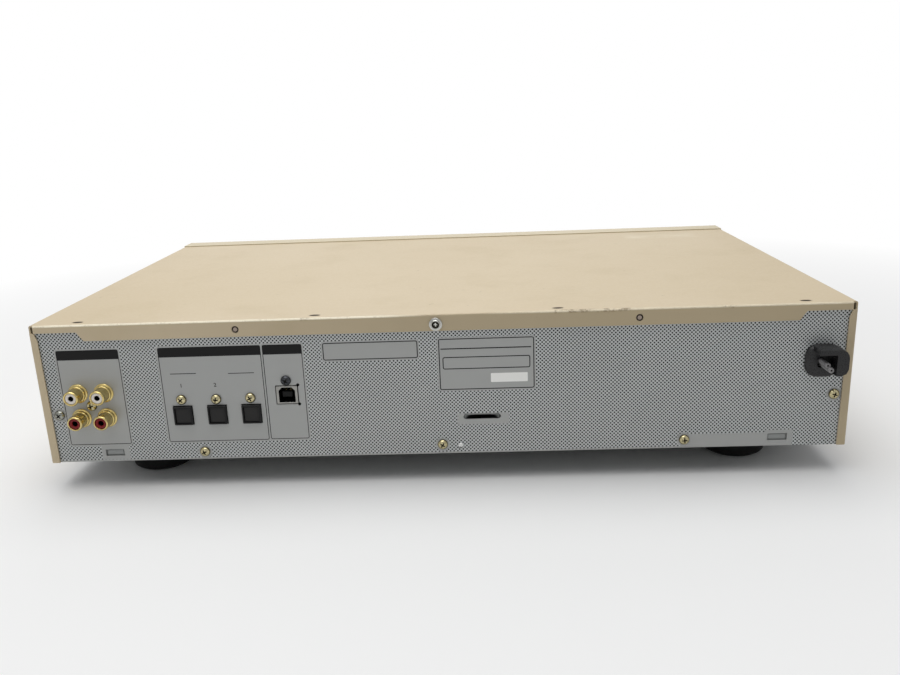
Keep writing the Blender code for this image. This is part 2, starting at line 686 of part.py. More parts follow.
def make_rear_panel():
    """The printed steel rear panel with its cut-outs, a vent slot and two locating pips."""
    side = HALF - SHEET - GAP
    top = TOP_Z - SHEET - GAP
    outline = [
        (-side, BASE_Z),
        (side, BASE_Z),
        (side, top - PANEL_CORNER),
        (side - PANEL_CORNER, top),
        (PANEL_CORNER - side, top),
        (-side, top - PANEL_CORNER),
    ]
    plate = prism(outline, "Y", PANEL_BACK_Y, PANEL_FACE_Y)
    holes = [rod((x, 0, z), "Y", *THROUGH_PANEL, RCA_SHELL_RADIUS + GAP, 20) for x, z in rca_places()]
    socket_hole = grown(OPTICAL_FACE, 2 * GAP)
    holes += [around(place, socket_hole, *THROUGH_PANEL) for place in optical_places()]
    usb_hole = grown(USB_FACE, 2 * USB_CLEARANCE)
    usb_hole_mesh = around((USB_X, height(USB_HEIGHT)), usb_hole, *THROUGH_PANEL)
    holes.append(usb_hole_mesh)
    holes.append(rod((BUSH_X, 0, height(BUSH_HEIGHT)), "Y", *THROUGH_PANEL, BUSH_NECK + GAP, 20))
    vent_z = height(VENT_HEIGHT)
    ends = ((VENT_X - VENT_SIZE[0] / 2, vent_z), (VENT_X + VENT_SIZE[0] / 2, vent_z))
    holes.append(prism(capsule(*ends, VENT_SIZE[1], 4), "Y", *THROUGH_PANEL))
    holes.append(rod((0, 0, SCREW_Z), "Y", *THROUGH_PANEL, SCREW_SHANK[0] + GAP))
    notches = []
    for sign in (-1, 1):
        holes.append(around((sign * WINDOW_X, height(WINDOW_HEIGHT)), WINDOW_SIZE, *THROUGH_PANEL))
        corner = (USB_X - usb_hole[0] / 2, 0, height(USB_HEIGHT) + sign * usb_hole[1] / 2)
        notches.append(rod(corner, "Y", *THROUGH_PANEL, USB_NOTCH, 12))
    pips = []
    for sign in (-1, 1):
        centre = (sign * PIP_X, 0, TOP_Z - PIP_DROP)
        pips.append(rod(centre, "Y", PANEL_FACE_Y - SHEET / 2, REAR_Y - GAP / 2, PIP_RADIUS, 12))
    steps = [join(merged(pips)), cut(merged(holes)), cut(merged(notches))]
    part("rear_panel", PRINTED_STEEL, plate, *steps)


def make_analogue_sockets():
    """The block behind the analogue sockets with its four insulating sleeves, and the plated shells."""
    side = RCA_PITCH / 2 + RCA_BLOCK_EDGE
    low = (RCA_X - side, SOCKET_Y - RCA_BLOCK_DEPTH, BOARD_TOP_Z + GAP)
    high = (RCA_X + side, SOCKET_Y, height(RCA_HEIGHT) + side)
    inside = RCA_SHELL_RADIUS - RCA_SHELL_WALL
    tip = PANEL_FACE_Y + RCA_REACH
    sleeves = []
    bores = []
    for x, z in rca_places():
        centre = (x, 0, z)
        sleeves.append(rod(centre, "Y", SOCKET_Y - MARGIN, tip - MARGIN, inside - GAP, 14))
        bores.append(rod(centre, "Y", PANEL_FACE_Y - 2 * MARGIN, tip, RCA_BORE, 12))
    body = block(low, high, 0.0006)
    part("rca_block", BLACK_PLASTIC, body, join(merged(sleeves)), cut(merged(bores)))
    base_radius, base_end = RCA_BASE
    collar_radius, collar_end = RCA_COLLAR
    shell = [
        (SOCKET_Y + GAP, inside),
        (SOCKET_Y + GAP, RCA_SHELL_RADIUS),
        (PANEL_FACE_Y + GAP, RCA_SHELL_RADIUS),
        (PANEL_FACE_Y + GAP, base_radius),
        (PANEL_FACE_Y + base_end, base_radius),
        (PANEL_FACE_Y + base_end, collar_radius),
        (PANEL_FACE_Y + collar_end - 0.0003, collar_radius),
        (PANEL_FACE_Y + collar_end, collar_radius - 0.0003),
        (PANEL_FACE_Y + collar_end, RCA_SHELL_RADIUS),
        (tip - 0.0004, RCA_SHELL_RADIUS),
        (tip, RCA_SHELL_RADIUS - 0.0002),
        (tip, inside),
    ]
    for number, (x, z) in enumerate(rca_places(), 1):
        part(f"rca_shell_{number}", GOLD, turned(shell, (x, 0, z), "Y", 18))


def make_optical_sockets():
    """Three square optical sockets, each with a sprung shutter hung inside its mouth."""
    width, tall = OPTICAL_FACE
    for number, (x, z) in enumerate(optical_places(), 1):
        neck = around((x, z), OPTICAL_FACE, SOCKET_Y - MARGIN, OPTICAL_MOUTH_Y, 0.0004)
        half = width / 2 + OPTICAL_SHOULDER
        low = (x - half, SOCKET_Y - OPTICAL_DEPTH, BOARD_TOP_Z + GAP)
        high = (x + half, SOCKET_Y, z + tall / 2 + OPTICAL_SHOULDER)
        housing = block(low, high)
        hollow = around((x, z), CAVITY, OPTICAL_MOUTH_Y - OPTICAL_CAVITY, OPTICAL_MOUTH_Y + MARGIN)
        pivot = (x, OPTICAL_MOUTH_Y - SHUTTER_BACK, z + CAVITY[1] / 2 - SHUTTER_THICKNESS)
        reach = CAVITY[0] / 2 + 0.0005
        pin_holes = rod(pivot, "X", -reach, reach, SHUTTER_PIN[0] + GAP, 8)
        steps = [join(neck), cut(hollow), cut(pin_holes)]
        part(f"optical_socket_{number}", BLACK_PLASTIC, housing, *steps)
        half = CAVITY[0] / 2 - GAP
        thick = SHUTTER_THICKNESS / 2
        low = (x - half, pivot[1] - thick, z - CAVITY[1] / 2 + GAP)
        leaf = block(low, (x + half, pivot[1] + thick, pivot[2] + thick))
        reach = half + SHUTTER_PIN[1]
        pins = rod(pivot, "X", -reach, reach, SHUTTER_PIN[0], 8)
        part(f"optical_shutter_{number}", GREY_PLASTIC, leaf, join(pins), origin=pivot)


def usb_outline(clearance):
    """Outline of the square data socket's bore, with its two upper corners cut off."""
    x, z = USB_X, height(USB_HEIGHT)
    half_width = USB_MOUTH[0] / 2 - clearance
    half_height = USB_MOUTH[1] / 2 - clearance
    return [
        (x - half_width, z - half_height),
        (x + half_width, z - half_height),
        (x + half_width, z + half_height - USB_CHAMFER),
        (x + half_width - USB_CHAMFER, z + half_height),
        (x - half_width + USB_CHAMFER, z + half_height),
        (x - half_width, z + half_height - USB_CHAMFER),
    ]


def make_usb():
    """The square data socket: a plated shell hung from an ear, and the insulator with its tongue."""
    x, z = USB_X, height(USB_HEIGHT)
    rear = SOCKET_Y - USB_DEPTH
    shell = around((x, z), USB_FACE, rear, PANEL_FACE_Y + GAP)
    ear_width, ear_rise, ear_depth = USB_EAR
    edge = z + USB_FACE[1] / 2
    low = (x - ear_width / 2, SOCKET_Y - ear_depth, edge - 0.0005)
    ear = block(low, (x + ear_width / 2, SOCKET_Y, edge + ear_rise))
    bore = prism(usb_outline(0.0), "Y", rear - MARGIN, PANEL_FACE_Y + MARGIN)
    screw_hole = rod((x, SOCKET_Y, z + USB_SCREW_RISE), "Y", -0.0030, 0.0020, SCREW_SHANK[0])
    part("usb_socket", NICKEL, shell, join(ear), cut(bore), cut(screw_hole))
    bore_end = PANEL_FACE_Y - USB_BORE_DEPTH
    insulator = prism(usb_outline(GAP), "Y", rear, bore_end)
    tongue = around((x, z), USB_TONGUE, bore_end - MARGIN, PANEL_FACE_Y - MARGIN, 0.0003)
    part("usb_insulator", BLACK_PLASTIC, insulator, join(tongue))


def cord_outline(y, clearance, lean):
    """Section of the twin cord at one y: two round cores one over the other; lean goes from 0 to 1."""
    radius = CORE_RADIUS + clearance
    waist = math.acos(CORE_OFFSET / radius)
    sweep = 2 * math.pi - 2 * waist
    centre_x = BUSH_X + CORD_PLACE[0] + CORD_LEAN[0] * lean
    centre_z = height(BUSH_HEIGHT) + CORD_PLACE[1] + CORD_LEAN[1] * lean
    points = []
    for sign in (1, -1):
        middle = centre_z + sign * CORE_OFFSET
        first = waist - sign * math.pi / 2
        for i in range(8):
            angle = first + sweep * i / 8
            points.append((centre_x + radius * math.cos(angle), y, middle + radius * math.sin(angle)))
    return points


def make_bush():
    """The cord bush: a rounded flange, a hood over and beside the cord and a barbed neck."""
    x, z = BUSH_X, height(BUSH_HEIGHT)
    face = PANEL_FACE_Y + BUSH_FLANGE_DEPTH
    sections = []
    steps = ((PANEL_FACE_Y + GAP, 0.0), (face - 0.0014, 0.0), (face - 0.0005, 0.0006), (face, 0.0016))
    for y, inset in steps:
        size = grown(BUSH_FLANGE, -2 * inset)
        outline = rounded((x, z), size, (BUSH_ROUND - inset,) * 4, 5)
        sections.append([(a, y, b) for a, b in outline])
    flange = lofted(sections)
    top = z + HOOD_TOP
    bottom = z - HOOD_DROP
    outer = x - HOOD_OUTER
    hood_outline = [
        (x + HOOD_INNER, top),
        (outer + 0.0036, top),
        (outer + 0.0016, top - 0.0009),
        (outer + 0.0004, top - 0.0026),
        (outer, top - 0.0046),
        (outer, bottom + 0.0036),
        (outer + 0.0011, bottom + 0.0011),
        (outer + 0.0036, bottom),
        (outer + HOOD_WALL, bottom),
        (outer + HOOD_WALL, top - HOOD_ROOF),
        (x + HOOD_INNER, top - HOOD_ROOF),
    ]
    hood = prism(hood_outline, "Y", face - MARGIN, PANEL_FACE_Y + BUSH_REACH)
    barb, barb_start, barb_end = BUSH_BARB
    neck_profile = [
        (PANEL_BACK_Y - barb_end, 0.0),
        (PANEL_BACK_Y - barb_end, BUSH_NECK - barb),
        (PANEL_BACK_Y - barb_start, BUSH_NECK + barb),
        (PANEL_BACK_Y - GAP, BUSH_NECK + barb),
        (PANEL_BACK_Y - GAP, BUSH_NECK),
        (PANEL_FACE_Y + MARGIN, BUSH_NECK),
        (PANEL_FACE_Y + MARGIN, 0.0),
    ]
    neck = turned(neck_profile, (x, 0, z), "Y", 20)
    ends = (PANEL_BACK_Y - CORD_INSIDE, face + MARGIN)
    bore = lofted([cord_outline(y, GAP, 0.0) for y in ends])
    part("cord_bush", BLACK_PLASTIC, flange, join(hood), join(neck), cut(bore))
    inside = PANEL_BACK_Y - CORD_INSIDE
    tip = PANEL_FACE_Y + BUSH_REACH
    stub = [cord_outline(inside, 0.0, 0.0), cord_outline(face, 0.0, 0.0), cord_outline(tip, 0.0, 1.0)]
    part("cord_stub", CORD_GREY, lofted(stub))


def make_cover_screw():
    """The flanged screw in the middle of the cover's rear flange, with a dished head and a cross."""
    shank, length = SCREW_SHANK
    flange_radius, flange_rise = SCREW_FLANGE
    head_radius, head_rise = SCREW_HEAD
    seat = REAR_Y + GAP
    dish = seat + head_rise * 0.55
    profile = [
        (PANEL_BACK_Y - length, 0.0),
        (PANEL_BACK_Y - length, shank),
        (seat, shank),
        (seat, flange_radius),
        (seat + flange_rise * 0.6, flange_radius),
        (seat + flange_rise, head_radius),
        (seat + head_rise, head_radius - 0.0002),
        (seat + head_rise, head_radius - 0.0005),
        (dish, head_radius - 0.0008),
        (dish, 0.0),
    ]
    head = turned(profile, (0, 0, SCREW_Z), "Y", 18)
    arm, blade, deep = SCREW_CROSS
    steps = []
    for size in ((arm, blade), (blade, arm)):
        steps.append(cut(around((0, SCREW_Z), size, dish - deep, dish + MARGIN)))
    part("cover_screw", NICKEL, head, *steps)


def front_buttons():
    """Every push button: name, middle across, height, size."""
    first = WINDOW_GLASS_X - 2.5 * TRANSPORT_PITCH
    keys = []
    for i, name in enumerate(("play", "pause", "stop", "rewind", "forward", "record")):
        keys.append((f"{name}_button", first + i * TRANSPORT_PITCH, TRANSPORT_HEIGHT, TRANSPORT_BUTTON))
    keys.append(("power_button", POWER_X, POWER_HEIGHT, POWER_BUTTON))
    keys.append(("eject_button", EJECT_X, EJECT_HEIGHT, EJECT_BUTTON))
    return keys


def make_front_panel():
    """The moulded front: a shallow tray open to the rear, with its openings and board pillars."""
    wall = PANEL_WALL
    rear = FRONT_Y + PANEL_DEPTH
    bottom = BASE_Z - PANEL_RISE
    top = TOP_Z + PANEL_RISE
    shell = soften(block((-HALF, FRONT_Y, bottom), (HALF, rear, top)), FRONT_Y, PANEL_BEVEL, 3)
    inside = block((wall - HALF, WALL_BACK_Y, bottom + wall), (HALF - wall, rear + MARGIN, top - wall))
    holes = []
    for _, x, h, size in front_buttons():
        holes.append(around((x, height(h)), grown(size, 2 * GAP), *THROUGH_FRONT))
    glass = (WINDOW_GLASS_X, height(WINDOW_GLASS_HEIGHT))
    holes.append(around(glass, grown(WINDOW_GLASS, 2 * GAP), *THROUGH_FRONT))
    holes.append(around((SLOT_X, SLOT_Z), grown(MOUTH, 2 * BEZEL_WALL + 2 * GAP), *THROUGH_FRONT))
    for x, h, radius in (
        (JOG_X, JOG_HEIGHT, SHAFT_RADIUS + SHAFT_STOP),
        (LEVEL_X, LEVEL_HEIGHT, SHAFT_RADIUS + 2 * GAP),
        (PHONES_X, PHONES_HEIGHT, PHONES_BORE + PHONES_WALL + GAP),
    ):
        holes.append(rod((x, 0, height(h)), "Y", *THROUGH_FRONT, radius, 20))
    groove_z = height(GROOVE_HEIGHT)
    groove_width, groove_depth = GROOVE
    low = (-HALF - MARGIN, FRONT_Y - MARGIN, groove_z - groove_width / 2)
    groove = block(low, (HALF + MARGIN, FRONT_Y + groove_depth, groove_z + groove_width / 2))
    outer = HALF - PILLAR_INSET
    places = (
        (-outer, PILLAR_MIDDLE),
        (-PILLAR_INNER, PILLAR_LOW),
        (PILLAR_INNER, PILLAR_HIGH),
        (outer, PILLAR_LOW),
        (outer, PILLAR_HIGH),
    )
    ends = (WALL_BACK_Y - 0.0005, BOARD_Y - GAP)
    pillars = [rod((x, 0, height(h)), "Y", *ends, PILLAR_RADIUS, 10) for x, h in places]
    steps = [cut(inside), cut(groove), cut(merged(holes)), join(merged(pillars))]
    part("front_panel", CHAMPAGNE, shell, *steps)


def make_slot():
    """The slot's bezel and the flap that the cartridge pushes inwards."""
    centre = (SLOT_X, SLOT_Z)
    face = FRONT_Y - GAP
    rear = FRONT_Y + BEZEL_DEPTH
    outer = grown(MOUTH, 2 * BEZEL_WALL)
    tube = around(centre, outer, face - 0.0004, rear)
    rim = around(centre, grown(outer, 2 * BEZEL_LIP), face - BEZEL_PROUD, face, 0.0003)
    mouth = around(centre, MOUTH, face - BEZEL_PROUD - MARGIN, rear + MARGIN)
    pivot = (SLOT_X, FRONT_Y + FLAP_BACK, SLOT_Z + MOUTH[1] / 2 - FLAP_THICKNESS)
    pin, pin_reach = FLAP_PIN
    reach = MOUTH[0] / 2 + pin_reach + GAP
    pin_bore = rod(pivot, "X", -reach, reach, pin + GAP, 12)
    part("slot_bezel", BLACK_PLASTIC, tube, join(rim), cut(mouth), cut(pin_bore))
    half = MOUTH[0] / 2 - GAP
    thick = FLAP_THICKNESS / 2
    low = (SLOT_X - half, pivot[1] - thick, SLOT_Z - MOUTH[1] / 2 + GAP)
    leaf = block(low, (SLOT_X + half, pivot[1] + thick, pivot[2] + thick))
    pins = rod(pivot, "X", -half - pin_reach, half + pin_reach, pin, 12)
    part("slot_flap", CHAMPAGNE, leaf, join(pins), origin=pivot)


def make_display():
    """The smoked window with a step behind the front wall, and the display tube in front of the board."""
    centre = (WINDOW_GLASS_X, height(WINDOW_GLASS_HEIGHT))
    step_end = WALL_BACK_Y + 0.0012
    face = around(centre, WINDOW_GLASS, FRONT_Y - 0.0002, WALL_BACK_Y + 2 * GAP, 0.0002)
    step = around(centre, grown(WINDOW_GLASS, 2 * WINDOW_STEP), WALL_BACK_Y + GAP, step_end)
    part("display_window", SMOKED, face, join(step))
    pane_size = (WINDOW_GLASS[0] - 2 * TUBE_BORDER[0], WINDOW_GLASS[1] - 2 * TUBE_BORDER[1])
    front = step_end + GAP
    pane_end = front + GLASS_THICKNESS
    pane = around(centre, pane_size, front, pane_end, 0.0003)
    rear_size = (pane_size[0] - TUBE_BORDER[0], pane_size[1] - TUBE_BORDER[1])
    rear = around(centre, rear_size, pane_end - 0.0005, BOARD_Y - GAP)
    part("display_tube", GLASS, pane, join(rear))


def make_buttons():
    """Push buttons: a cap through the panel, a skirt that holds it behind the wall and a stem."""
    rest = FRONT_Y - BUTTON_PROUD
    skirt_front = WALL_BACK_Y + GAP
    stem_end = BOARD_Y - SWITCH[1] - BUTTON_TRAVEL - GAP
    for name, x, h, size in front_buttons():
        centre = (x, height(h))
        cap = soften(around(centre, size, rest, skirt_front + 0.0005), rest, BUTTON_BEVEL, 2)
        skirt = around(centre, grown(size, 2 * BUTTON_SKIRT), skirt_front, skirt_front + 0.0010)
        stem = around(centre, (BUTTON_STEM, BUTTON_STEM), skirt_front + 0.0005, stem_end)
        part(name, CHAMPAGNE, cap, join(skirt), join(stem), origin=(x, rest, height(h)))


def make_front_board():
    """The front circuit board with one switch behind each button and openings for what passes it."""
    side = HALF - FRONT_BOARD_EDGE
    low = (-side, BOARD_Y, height(FRONT_BOARD_FOOT))
    board = block(low, (side, BOARD_Y + BOARD, height(FRONT_BOARD_HEAD)))
    size, tall = SWITCH
    ends = (BOARD_Y - tall, BOARD_Y + BOARD / 2)
    switches = [around((x, height(h)), (size, size), *ends) for _, x, h, _ in front_buttons()]
    through = (BOARD_Y - MARGIN, BOARD_Y + BOARD + MARGIN)
    openings = [around((SLOT_X, SLOT_Z), grown(MOUTH, 2 * BEZEL_WALL + 0.0020), *through)]
    body = PHONES_BODY + 2 * GAP
    openings.append(around((PHONES_X, height(PHONES_HEIGHT)), (body, body), *through))
    part("front_board", CIRCUIT, board, join(merged(switches)), cut(merged(openings)))


def make_jog():
    """The jog dial: a hollow knob on a push shaft in the bore of its encoder."""
    centre = (JOG_X, 0, height(JOG_HEIGHT))
    bush_end = FRONT_Y - 0.0020
    body_front = WALL_BACK_Y + GAP
    bore_end = BOARD_Y - SHAFT_STOP
    encoder = around((JOG_X, height(JOG_HEIGHT)), JOG_ENCODER, body_front, BOARD_Y - GAP, 0.0004)
    bush = rod(centre, "Y", bush_end, body_front + MARGIN, SHAFT_RADIUS + SHAFT_BUSH, 16)
    bore = rod(centre, "Y", bush_end - MARGIN, bore_end, SHAFT_RADIUS + GAP, 16)
    part("jog_encoder", ZINC, encoder, join(bush), cut(bore))
    face = FRONT_Y - KNOB_REACH
    origin = (JOG_X, face, height(JOG_HEIGHT))
    shaft = rod(centre, "Y", face + JOG_SKIN + GAP, bore_end - JOG_TRAVEL - GAP, SHAFT_RADIUS, 16)
    part("jog_shaft", ALUMINIUM, shaft, origin=origin)
    rim = FRONT_Y - JOG_TRAVEL - GAP
    boss_end = bush_end - JOG_TRAVEL - GAP
    boss = SHAFT_RADIUS + 0.0026
    profile = [
        (face + JOG_DISH, 0.0),
        (face + JOG_DISH, JOG_RADIUS - 0.0030),
        (face, JOG_RADIUS - 0.0024),
        (face, JOG_RADIUS - 0.0010),
        (face + 0.0010, JOG_RADIUS),
        (rim, JOG_RADIUS),
        (rim, JOG_RADIUS - JOG_WALL),
        (face + JOG_SKIN, JOG_RADIUS - JOG_WALL),
        (face + JOG_SKIN, boss),
        (boss_end, boss),
        (boss_end, SHAFT_RADIUS + GAP),
        (face + JOG_SKIN, SHAFT_RADIUS + GAP),
        (face + JOG_SKIN, 0.0),
    ]
    part("jog_knob", ALUMINIUM, turned(profile, centre, "Y", 32), origin=origin)


def make_level():
    """The headphone level: a small potentiometer and its knob, whose shaft turns in the bush."""
    z = height(LEVEL_HEIGHT)
    centre = (LEVEL_X, 0, z)
    bush_end = FRONT_Y - 0.0012
    body_front = WALL_BACK_Y + GAP
    bore_end = BOARD_Y - SHAFT_STOP
    pot = around((LEVEL_X, z), LEVEL_POT, body_front, BOARD_Y - GAP, 0.0003)
    bush = rod(centre, "Y", bush_end, body_front + MARGIN, SHAFT_RADIUS + 0.0002, 16)
    bore = rod(centre, "Y", bush_end - MARGIN, bore_end, LEVEL_SHAFT + GAP, 16)
    part("level_pot", ZINC, pot, join(bush), cut(bore))
    face = FRONT_Y - LEVEL_REACH
    rim = FRONT_Y - GAP - 0.0002
    hub = bush_end - 2 * GAP
    profile = [
        (face, 0.0),
        (face, LEVEL_RADIUS - 0.0008),
        (face + 0.0008, LEVEL_RADIUS),
        (rim, LEVEL_RADIUS),
        (rim, LEVEL_RADIUS - 0.0015),
        (hub, LEVEL_RADIUS - 0.0015),
        (hub, LEVEL_SHAFT),
        (bore_end - 2 * GAP, LEVEL_SHAFT),
        (bore_end - 2 * GAP, 0.0),
    ]
    half = LEVEL_POINTER / 2
    low = (LEVEL_X - half, face - 0.0004, z + LEVEL_RADIUS * 0.35)
    pointer = block(low, (LEVEL_X + half, face + 0.0010, z + LEVEL_RADIUS * 0.85))
    knob = turned(profile, centre, "Y", 28)
    part("level_knob", CHAMPAGNE, knob, join(pointer), origin=(LEVEL_X, face, z))


def make_phones():
    """The headphone socket: a round nose through the panel, a square body and its bore."""
    centre = (PHONES_X, 0, height(PHONES_HEIGHT))
    front = FRONT_Y - PHONES_PROUD
    rear = FRONT_Y + PHONES_DEPTH
    place = (PHONES_X, height(PHONES_HEIGHT))
    body = around(place, (PHONES_BODY, PHONES_BODY), WALL_BACK_Y + GAP, rear)
    neck = PHONES_BORE + PHONES_WALL
    lip = neck + PHONES_LIP
    nose = [
        (front, 0.0),
        (front, lip - 0.0003),
        (front + 0.0003, lip),
        (FRONT_Y - GAP, lip),
        (FRONT_Y - GAP, neck),
        (WALL_BACK_Y + MARGIN, neck),
        (WALL_BACK_Y + MARGIN, 0.0),
    ]
    bore = rod(centre, "Y", front - MARGIN, rear - 2 * MARGIN, PHONES_BORE, 20)
    part("phones_jack", BLACK_PLASTIC, body, join(turned(nose, centre, "Y", 20)), cut(bore))


def involute(angle):
    """Polar angle of an involute, whose own pressure angle is given there."""
    return math.tan(angle) - angle


def gear_outline(centre, toward):
    """Involute gear with one tooth pointing at the rack; points are in the plane of the gear."""
    base = PITCH_RADIUS * math.cos(PRESSURE_ANGLE)
    tip = PITCH_RADIUS + GEAR_ADDENDUM
    root = PITCH_RADIUS - GEAR_DEDENDUM
    at_base = TOOTH / (2 * PITCH_RADIUS) + involute(PRESSURE_ANGLE)
    flank = [(root, at_base), (base, at_base)]
    for radius in (PITCH_RADIUS, tip):
        flank.append((radius, at_base - involute(math.acos(base / radius))))
    tooth = [(radius, -half) for radius, half in flank] + list(reversed(flank))
    points = []
    for number in range(GEAR_TEETH):
        middle = toward + 2 * math.pi * number / GEAR_TEETH
        for radius, half in tooth:
            x = centre[0] + radius * math.cos(middle + half)
            points.append((x, centre[1] + radius * math.sin(middle + half)))
    return points


def rack_edge(start, end, gap_at, pitch_line, outward):
    """Points of a toothed edge from start to end, with a gap between teeth at gap_at."""
    slope = math.tan(PRESSURE_ANGLE)
    tip = pitch_line + outward * GEAR_ADDENDUM
    root = pitch_line - outward * GEAR_DEDENDUM
    wide = TOOTH / 2 + GEAR_DEDENDUM * slope
    narrow = TOOTH / 2 - GEAR_ADDENDUM * slope
    first = math.ceil((start - gap_at) / GEAR_PITCH)
    last = math.floor((end - gap_at) / GEAR_PITCH) - 1
    points = []
    for number in range(first, last + 1):
        middle = gap_at + (number + 0.5) * GEAR_PITCH
        points += [(middle - wide, root), (middle - narrow, tip)]
        points += [(middle + narrow, tip), (middle + wide, root)]
    return points


def make_drive():
    """The drive's steel frame with legs, rod bosses and slots for the holder's pins."""
    rise = SLOT_Z + DRIVE_RISE
    section = [
        (SLOT_X - DRIVE_OUTER, DRIVE_BOTTOM),
        (SLOT_X + DRIVE_OUTER, DRIVE_BOTTOM),
        (SLOT_X + DRIVE_OUTER, rise),
        (SLOT_X + DRIVE_INNER, rise),
        (SLOT_X + DRIVE_INNER, DRIVE_FLOOR),
        (SLOT_X - DRIVE_INNER, DRIVE_FLOOR),
        (SLOT_X - DRIVE_INNER, rise),
        (SLOT_X - DRIVE_OUTER, rise),
    ]
    frame = prism(section, "Y", HOLDER_Y + GAP, HOLDER_Y + DRIVE_LENGTH)
    slot = capsule((SPINDLE_Y, SLOT_Z), (SPINDLE_Y, SLOT_Z - HOLDER_DROP), 2 * (PIN_RADIUS + GAP))
    reach = DRIVE_OUTER + MARGIN
    pin_slot = prism(slot, "X", SLOT_X - reach, SLOT_X + reach)
    shaft = (SLOT_X, LOAD_GEAR_Y, LOAD_SHAFT_Z)
    shaft_hole = rod(shaft, "X", DRIVE_INNER - MARGIN, reach, MOTOR_SHAFT + GAP, 10)
    inside_floor = DRIVE_FLOOR - DRIVE_WALL / 2
    boss_width, boss_depth, boss_rise = ROD_BOSS
    leg_radius, leg_side, leg_end = DRIVE_LEG
    adds = []
    bores = []
    for side in (-1, 1):
        x = SLOT_X + side * ROD_SPACING
        for y in (ROD_START + MARGIN, ROD_END - MARGIN - boss_depth):
            low = (x - boss_width / 2, y, inside_floor)
            adds.append(block(low, (x + boss_width / 2, y + boss_depth, ROD_Z + boss_rise)))
        leg_x = SLOT_X + side * (DRIVE_INNER - leg_side)
        for y in (HOLDER_Y + leg_end, HOLDER_Y + DRIVE_LENGTH - leg_end):
            adds.append(rod((leg_x, y, 0), "Z", PAN_TOP_Z + GAP, inside_floor, leg_radius, 10))
        bores.append(rod((x, 0, ROD_Z), "Y", ROD_START - MARGIN, ROD_END + MARGIN, ROD_RADIUS + GAP, 12))
    steps = [cut(pin_slot), cut(shaft_hole), join(merged(adds)), cut(merged(bores))]
    part("md_chassis", ZINC, frame, *steps)
    for number, side in enumerate((1, -1), 1):
        bar = rod((SLOT_X + side * ROD_SPACING, 0, ROD_Z), "Y", ROD_START, ROD_END, ROD_RADIUS, 12)
        part(f"guide_rod_{number}", STEEL, bar)


def make_holder():
    """The cartridge's sleeve, with windows for the disc, the lens and the head, and two pins."""
    half = HOLDER_HALF
    rear = HOLDER_Y + HOLDER_LENGTH
    bottom = SLOT_Z - CAVITY_HALF - SHEET
    sleeve = block((SLOT_X - half, HOLDER_Y, bottom), (SLOT_X + half, rear, HOLDER_TOP))
    inner = half - SHEET
    low = (SLOT_X - inner, HOLDER_Y - MARGIN, SLOT_Z - CAVITY_HALF)
    cavity = block(low, (SLOT_X + inner, rear - SHEET, SLOT_Z + CAVITY_HALF))
    width, lead, edge = DISC_WINDOW
    low = (SLOT_X - width / 2, SPINDLE_Y - lead, bottom - MARGIN)
    under = block(low, (SLOT_X + width / 2, rear - edge, SLOT_Z))
    width, edge = HEAD_WINDOW
    low = (SLOT_X - width / 2, SPINDLE_Y, SLOT_Z)
    over = block(low, (SLOT_X + width / 2, rear - edge, HOLDER_TOP + MARGIN))
    centre = (SLOT_X, SPINDLE_Y, SLOT_Z)
    start = half - SHEET / 2
    end = DRIVE_OUTER + GAP + SHEET
    pins = [rod(centre, "X", *ends, PIN_RADIUS, 12) for ends in ((-end, -start), (start, end))]
    steps = [cut(cavity), cut(under), cut(over), join(merged(pins))]
    part("cartridge_holder", STEEL, sleeve, *steps, origin=centre)


def make_loading():
    """The sliding cam plate with its slanted slot and rack, the gear that drives it and its motor."""
    pitch_line = LOAD_SHAFT_Z + PITCH_RADIUS
    start = LOAD_GEAR_Y - LOAD_TRAVEL - 3 * GEAR_PITCH
    end = LOAD_GEAR_Y + 3 * GEAR_PITCH
    root = pitch_line + GEAR_DEDENDUM
    top = SLOT_Z + CAM_RISE
    teeth = rack_edge(start, end, LOAD_GEAR_Y, pitch_line, -1)
    outline = [(start, root)] + teeth + [(end, root), (end, top), (start, top)]
    plate = prism(outline, "X", CAM_X, CAM_X + CAM_WIDTH)
    low_end = (SPINDLE_Y - LOAD_TRAVEL, SLOT_Z - HOLDER_DROP)
    slot = capsule((SPINDLE_Y, SLOT_Z), low_end, 2 * (PIN_RADIUS + GAP))
    cam_slot = prism(slot, "X", *CAM_THROUGH)
    part("loading_slider", WHITE_PLASTIC, plate, cut(cam_slot), origin=(CAM_X, LOAD_GEAR_Y, pitch_line))
    axis = (0, LOAD_GEAR_Y, LOAD_SHAFT_Z)
    gear = gear_outline((LOAD_GEAR_Y, LOAD_SHAFT_Z), math.pi / 2)
    wheel = prism(gear, "X", CAM_X, CAM_X + CAM_WIDTH)
    bore = rod(axis, "X", *CAM_THROUGH, MOTOR_SHAFT + GAP, 10)
    part("loading_gear", WHITE_PLASTIC, wheel, cut(bore), origin=(CAM_X, LOAD_GEAR_Y, LOAD_SHAFT_Z))
    radius, length, shaft_reach = LOAD_MOTOR
    can_end = SLOT_X + DRIVE_INNER - GAP
    motor = [
        (can_end - length, 0.0),
        (can_end - length, radius),
        (can_end, radius),
        (can_end, MOTOR_SHAFT),
        (CAM_X + shaft_reach, MOTOR_SHAFT),
        (CAM_X + shaft_reach, 0.0),
    ]
    part("loading_motor", STEEL, turned(motor, axis, "X", 16))


